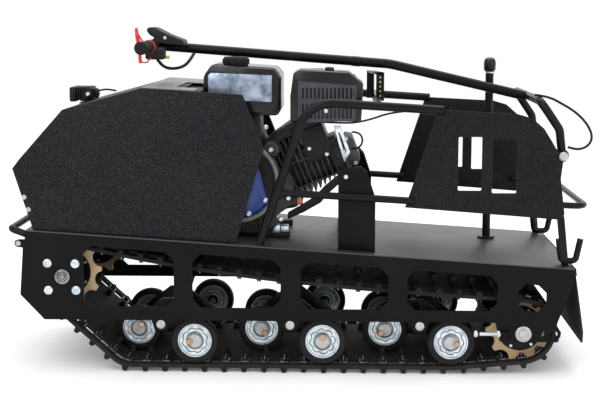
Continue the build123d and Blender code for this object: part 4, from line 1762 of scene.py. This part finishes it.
@dataclass
class Frame:
    """Tubes, posts, cargo panels, rear ring, hooks and lever."""

    tube_y: float = 251.0
    panel_y: float = 250.0
    sheet: float = 3.0
    pivot: Pair = (660.0, 556.0)
    ear: float = 13.0
    slots: tuple[tuple[float, ...], ...] = ((402, 460, 470, 603), (486, 546, 464, 598))
    ring_y: float = 240.2
    hook_y: float = 225.0
    lever_place: Pair = (515.0, 100.0)
    lever_top: float = 750.0

    def build(self) -> None:
        """Make every piece of the frame."""
        self.tubes()
        self.posts()
        self.panels()
        self.ring_and_hooks()
        self.lever()
        self.bolts()

    def tubes(self) -> None:
        """Make the side tubes and the hoop that the handle rests on."""
        shell = Shell()
        y = -self.tube_y
        shell.tube([(-90.4, y, 335), (30, y, 689.5), (364, y, 668.5)], 11, 85, 32)
        shell.tube([(-46, y, 463.5), (292, y, 443.5)], 9, sides=28)
        shell.twin().piece("frame_tubes", Look.TUBE, replaces=["frame_tubes"])
        hoop = Shell()
        hoop.tube([(205, -240, 680), (205, 240, 680)], 10)
        hoop.block((203, 224), (-63, -57), (679, 752), 0.8)
        hoop.block((181, 201), (57, 63), (679, 752), 0.8)
        hoop.prism([(203, -63), (224, -63), (201, 63), (181, 63)], 747, 753, 0.8, axis="Z")
        hoop.piece("support_hoop", Look.TUBE, replaces=["support_hoop"])
        holes = Shell()
        for k in range(5):
            holes.disc((213.5, -63.4, 692 + k * 12), 2.6, -0.6, 0.4, 0.2, sides=16)
        holes.piece("hoop_rivets", Look.BRASS)

    def posts(self) -> None:
        """Make the folded post plates in the middle of the deck."""
        y = -self.tube_y + 9.3
        shell = Shell()
        foot = [(x, deck_z(x) + 0.3) for x in (106, 199)]
        line = [*foot, (199, 450), (178, 513), (166, 526), (109, 520), (106, 518)]
        shell.prism(line, y, y + self.sheet, 0.8)
        for x, top in ((106, 516), (196, 448)):
            shell.block((x, x + self.sheet), (y + 1, y + 32), (deck_z(x) + 0.3, top), 0.6)
        lip = [(166, 523), (178, 511), (199, 449), (196, 448), (175, 510), (164, 521)]
        shell.prism(lip, y + 1, y + 32, 0.6)
        shell.twin().piece("middle_posts", Look.PLATE, replaces=["middle_posts"])

    def panels(self) -> None:
        """Make the cargo side panels with two plain slots."""
        line = [(352, 670), (545, 660), (582, 649), (611, 624), (630, 594), (640, 577), (650, 566)]
        x, z = self.pivot
        for t in (2.0, 1.4, 0.7, 0.0, -0.8, -1.6):
            line.append((x + self.ear * math.cos(t), z + self.ear * math.sin(t)))
        line += [(655, 500), (667, 412), (655, 398), (272, 427)]
        holes = []
        for x0, x1, z0, z1 in self.slots:
            low = [(x0 + 2, z0), (x1 - 2, z0), (x1, z0 + 2), (x1, z1 - 2)]
            holes.append(low + [(x1 - 2, z1), (x0 + 2, z1), (x0, z1 - 2), (x0, z0 + 2)])
        half = self.sheet / 2
        for name, side in (("near", -1), ("far", 1)):
            shell = Shell()
            y = side * self.panel_y
            shell.prism(line, y - half, y + half, 0.7, holes=holes)
            shell.piece(f"cargo_panel_{name}", Look.PANEL, replaces=[f"cargo_panel_{name}"])

    def ring_and_hooks(self) -> None:
        """Make the rear ring, the uprights below it and the U hooks."""
        ring = Shell()
        y = self.ring_y
        ring.tube([(600, -y, 437), (722, -y, 430), (722, y, 430), (600, y, 437)], 8, 40)
        ring.piece("rear_ring", Look.TUBE, replaces=["rear_ring"])
        shell = Shell()
        line = [(650, 425), (662, 425), (668, 400), (682, deck_z(682) + 0.3)]
        line += [(664, deck_z(664) + 0.3), (650, 396)]
        shell.prism(line, -y - 8, -y, 1.2)
        y = -self.hook_y
        shell.tube([(659, y, 346), (666, y, 290), (702, y, 290), (713, y, 346)], 8, 12)
        shell.block((662, 676), (y - 19, y), (298, 318), 1.5)
        shell.twin().piece("rear_uprights", Look.TUBE, replaces=["rear_uprights"])

    def lever(self) -> None:
        """Make the gear lever with its silver ring and knob."""
        x, y = self.lever_place
        foot = deck_z(x)
        up = (0, 0, 1)
        post = Shell()
        post.tube([(x, y, foot + 1), (x, y, self.lever_top)], 11)
        post.disc((x, y, foot + 0.5), 24, 0, 6, 1, up)
        post.piece("lever_post", Look.TUBE, replaces=["lever_post"])
        collar = Shell()
        collar.disc((x, y, self.lever_top - 6), 12.5, 0, 5, 1, up)
        collar.piece("lever_collar", Look.ZINC)
        knob = Shell()
        form = [(0, 0), (0, 14), (5, 16), (22, 16.5), (32, 14), (36, 8), (37, 0)]
        knob.lathe((x, y, self.lever_top), form, up, 40)
        knob.piece("lever_knob", Look.GLOSS, replaces=["lever_knob"])

    def bolts(self) -> None:
        """Make the bright bolts in the near post and the muffler's housing."""
        marks = Shell()
        for x, z, y in ((125, 502, -245.5), (74, 661, -184)):
            marks.disc((x, y, z), 5.5, -4, 1, 1.5, sides=24)
        marks.piece("post_bolts", Look.BRIGHT)


@dataclass
class Handle:
    """The long steering handle with its controls."""

    pivot: Pair = (660.0, 556.0)
    leg_y: float = 228.0
    grip: Pair = (-375.0, 820.0)
    bar_y: float = 285.0
    grip_y: Pair = (-290.0, -164.0)
    box_y: Pair = (-150.0, -108.0)
    red_y: float = -158.0

    def build(self) -> None:
        """Make every piece that rides on the handle, and its pivot bolts."""
        self.tubes()
        self.controls()
        self.bolts()

    def tubes(self) -> None:
        """Make the spine, the yoke, the crossbar and the rubber grips."""
        x, z = self.grip
        shell = Shell()
        shell.tube([(x, 0, z), (240, 0, 772.5), (602, 0, 688)], 12.5, 200, 32)
        px, pz = self.pivot
        near = [(px, -self.leg_y, pz), (652, -self.leg_y, 620), (604, -self.leg_y, 690)]
        far = [(a, -b, c) for a, b, c in reversed(near)]
        shell.tube(near + far, 10.5, 30, 28)
        for side in (-1, 1):
            shell.ring((px, side * self.leg_y, pz), 16, 6.3, -9, 9, 1)
        shell.tube([(x, -self.bar_y, z), (x, self.bar_y, z)], 11)
        shell.tube([(x - 2, 0, z), (x + 22, 0, z - 1.5)], 17)
        shell.piece("handle_frame", Look.TUBE, "handle", ["handle_frame"])
        grips = Shell()
        low, high = self.grip_y
        form = [(low, 0), (low, 12), (low + 4, 16), (low + 8, 16.5), (low + 12, 14.5)]
        for k in range(12):
            y = low + 16 + k * 9
            form += [(y, 15.8), (y + 5, 15.8), (y + 6, 14.6), (y + 8, 14.6)]
        form += [(high - 2, 16.5), (high, 16), (high, 0)]
        grips.lathe((x, 0, z), form)
        grips.twin().piece("grips", Look.GRIP, "handle", ["grips"])
        sleeve = Shell()
        sleeve.tube([(141, 0, 780), (162, 0, 778.2)], 13.4)
        sleeve.piece("spine_sleeve", Look.TUBE, "handle")

    def controls(self) -> None:
        """Make the console, the switch box, the red lever and the small lever."""
        x, z = self.grip
        plate = Shell()
        line = [(-391, 832), (-374, 837), (-367, 843), (-379, 849), (-387, 860), (-385, 867)]
        line += [(-378, 869.5), (-366, 868), (-331, 850), (-294, 836), (-291, 825)]
        plate.prism(line, -110, -20, 3)
        plate.piece("console", Look.PLASTIC, "handle", ["console"])
        screw = Shell()
        screw.disc((-340, -110, 842), 4.5, -2, 1, 0.8, sides=20)
        screw.piece("console_screw", Look.ZINC, "handle")
        box = Shell()
        box.block((-386, -337), self.box_y, (788, 818), 6)
        box.ring((x, 0, z), 18, 11.2, *self.box_y, 2)
        box.piece("switch_box", Look.PLASTIC, "handle", ["switch_box"])
        red = Shell()
        y = self.red_y
        upper = [(-409, 866), (-405, 869.6), (-401, 866), (-399, 848), (-394, 824), (-404, 822)]
        lower = [(-402, 802), (-394, 802), (-392, 779), (-400, 779)]
        for line in ([*upper, (-408, 845)], lower):
            red.prism(line, y - 4, y + 4, 2)
        red.ring((x, 0, z), 17.5, 11.3, y - 5, y + 5, 1.5)
        red.tube([(-401, y, 852), (-386, y, 828)], 2.2, sides=12)
        red.tube([(-396, y, 782), (-380, y, 781), (-370, y + 6, 793)], 1.8, 4, 12)
        red.piece("throttle_lever", Look.RED, "handle", ["throttle_lever"])
        small = Shell()
        small.tube([(-358, -130, 788), (-347, -130, 776), (-338, -130, 769)], 3.6, 6, 16)
        small.piece("brake_lever", Look.PLASTIC, "handle")
        tag = Shell()
        tag.block((-339, -328), (-117, -110), (789, 797), 1)
        tag.piece("cable_tag", Look.TAG, "handle")

    def bolts(self) -> None:
        """Make the pivot bolts in the cargo panels' ears."""
        x, z = self.pivot
        shell = Shell()
        shank, head, face = -216, -251.8, -259
        form = [(shank, 0), (shank, 6), (head, 6), (head, 11.5), (face + 3, 11.5), (face, 8.5)]
        shell.lathe((x, 0, z), [*form, (face, 0)])
        shell.twin().piece("pivot_bolts", Look.HUB, replaces=["pivot_bolts"])


@dataclass
class Cables:
    """Every limp cable of the tug."""

    def build(self) -> None:
        """Run the cables along their chosen points."""
        loop = [(592, -204, 704.2), (625, -206, 700.6), (657, -212, 684), (692, -220, 663)]
        loop += [(720, -228, 634), (733, -234, 603), (722, -238, 580), (694, -238, 570)]
        loop.append((672, -236, 578))
        cable("loop_cable", loop, 3.0, Look.CABLE, "handle", ["loop_cable"])
        control = [(-352, -134, 782.8), (-345, -120, 769), (-322, -96, 762)]
        control += [(-296, -66, 768), (-282, -40, 786), (-276, -20, 800)]
        cable("control_cable", control, 4.0, Look.CABLE, "handle", ["control_cable"])
        lamp = [(-537, 0, 700), (-522, 3, 704), (-506, 10, 703), (-492, 20, 699.5)]
        cable("lamp_lead", lamp, 2.5, Look.CABLE, replaces=["lamp_lead"])
        throttle = [(62.4, -100, 626.6), (104, -100, 624.6), (146, -101, 624.5)]
        throttle += [(189, -103, 634), (230, -108, 649), (268, -124, 656)]
        throttle += [(298, -156, 661), (312, -198, 667), (315, -239, 671.5)]
        cable("throttle_cable", throttle, 2.5, Look.CABLE)
        plug = [(-3.9, 47.3), (11.5, 47.8), (24.4, 34.9), (24.4, 16.7), (11.5, 3.8), (-2.6, 4.3)]
        x, z = Engine().slant(198, 0)
        cable("plug_lead", [(x + a, -84.2, z + b) for a, b in plug], 2.5, Look.CABLE)


# Stage


@dataclass
class Studio:
    """Pale floor, soft light and the photograph's camera."""

    camera_place: Point = (0.1115, -3.347, 0.898)
    pitch: float = -8.69
    turn: float = 1.858
    focal_share: float = 1257.4 / 600.0
    sensor: float = 36.0
    floor_size: float = 40.0
    floor_z: float = -0.0005
    floor_colour: Colour = (0.93, 0.93, 0.93)
    floor_glow: float = 0.09
    aim: Point = (0.0, 0.0, 0.4)
    boxes: tuple[tuple[str, Point, float, float], ...] = (
        ("key_box", (-1.6, -3.2, 3.2), 2.6, 60.0),
        ("fill_box", (2.6, -2.4, 1.8), 2.2, 20.0),
        ("top_box", (0.2, 0.8, 3.4), 3.0, 60.0),
    )

    def build(self) -> None:
        """Make the floor, the lights, the world and the camera."""
        self._floor()
        self._lights()
        self._world()
        self._camera()

    def _floor(self) -> None:
        """Lay a wide pale floor at the ground."""
        bpy.ops.mesh.primitive_plane_add(size=self.floor_size, location=(0, 0, self.floor_z))
        floor = bpy.context.object
        floor.name = "studio_floor"
        sockets = {
            "Base Color": self.floor_colour,
            "Roughness": 0.9,
            "Emission Color": (1.0, 1.0, 1.0),
            "Emission Strength": self.floor_glow,
        }
        floor.data.materials.append(Graph("studio_floor").finish(sockets))

    def _lights(self) -> None:
        """Hang soft boxes over and beside the tug."""
        for name, place, size, power in self.boxes:
            data = bpy.data.lights.new(name, "AREA")
            data.size = size
            data.energy = power
            lamp = bpy.data.objects.new(name, data)
            bpy.context.scene.collection.objects.link(lamp)
            lamp.location = place
            aim = Vector(self.aim) - Vector(place)
            lamp.rotation_euler = aim.to_track_quat("-Z", "Y").to_euler()

    def _world(self) -> None:
        """Fill the room with even pale light."""
        world = bpy.data.worlds.new("studio_world")
        world.use_nodes = True
        back = world.node_tree.nodes["Background"]
        back.inputs[0].default_value = (1.0, 1.0, 1.0, 1.0)
        back.inputs[1].default_value = 1.0
        bpy.context.scene.world = world
        bpy.context.scene.view_settings.view_transform = "Standard"

    def _camera(self) -> None:
        """Stand the camera where the photograph was taken."""
        data = bpy.data.cameras.new("photo_camera")
        data.sensor_width = self.sensor
        data.lens = self.sensor * self.focal_share
        camera = bpy.data.objects.new("photo_camera", data)
        bpy.context.scene.collection.objects.link(camera)
        camera.location = self.camera_place
        camera.rotation_euler = (math.radians(90 + self.pitch), 0, math.radians(self.turn))
        bpy.context.scene.camera = camera


@dataclass
class Solids:
    """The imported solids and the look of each."""

    looks: dict[Look, tuple[str, ...]] = field(
        default_factory=lambda: {
            Look.TRACK: ("track",),
            Look.TYRE: ("roller_tyres",),
            Look.GRIP: ("grips",),
            Look.FLAP: ("rear_flap",),
            Look.CABLE: ("loop_cable", "control_cable", "lamp_lead"),
            Look.ZINC: ("roller_discs", "outer_bolts", "drive_bearings", "tensioners", "pivot_bolts"),
            Look.STEEL: ("cross_shafts",),
            Look.TAN: ("sprockets",),
            Look.FIN: ("cylinder",),
            Look.ENGINE: ("engine_block",),
            Look.COVER: ("head_cover",),
            Look.GLOSS: ("exhaust_shroud", "cooling_shroud", "tank", "lever_knob"),
            Look.BLUE: ("clutch_plate",),
            Look.RED: ("throttle_lever",),
            Look.PLASTIC: (
                "clutch_rim",
                "tank_cap",
                "console",
                "switch_box",
                "air_cleaner",
                "recoil_starter",
            ),
            Look.HOOD: ("hood_side_near", "hood_side_far", "hood_skin", "hood_cap"),
            Look.PANEL: ("cargo_panel_near", "cargo_panel_far"),
            Look.DECK: ("deck",),
            Look.TUBE: (
                "track_axles",
                "rocker_arms",
                "lamp",
                "lamp_bracket",
                "muffler",
                "muffler_shield",
                "handle_frame",
                "frame_tubes",
                "rear_ring",
                "bumper",
                "support_hoop",
                "lever_post",
            ),
        }
    )

    def dress(self, nodes: dict[str, bpy.types.Object]) -> None:
        """Give each solid its look.

        Args:
            nodes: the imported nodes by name.
        """
        found = {name: look for look, names in self.looks.items() for name in names}
        for name, obj in sorted(nodes.items()):
            look = found.get(name, Look.PLATE)
            Paints.dress(obj, look)
            log.info("%s dressed as %s", name, look.name)


def main() -> None:
    """Build and dress every sub-assembly in order."""
    logging.basicConfig(level=logging.INFO, format="%(name)s: %(message)s")
    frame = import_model()
    Solids().dress(frame["nodes"])
    for group in (RunningGear(), Body(), Engine(), Frame(), Handle(), Cables()):
        group.build()
    Studio().build()


if __name__ == "__main__":
    main()
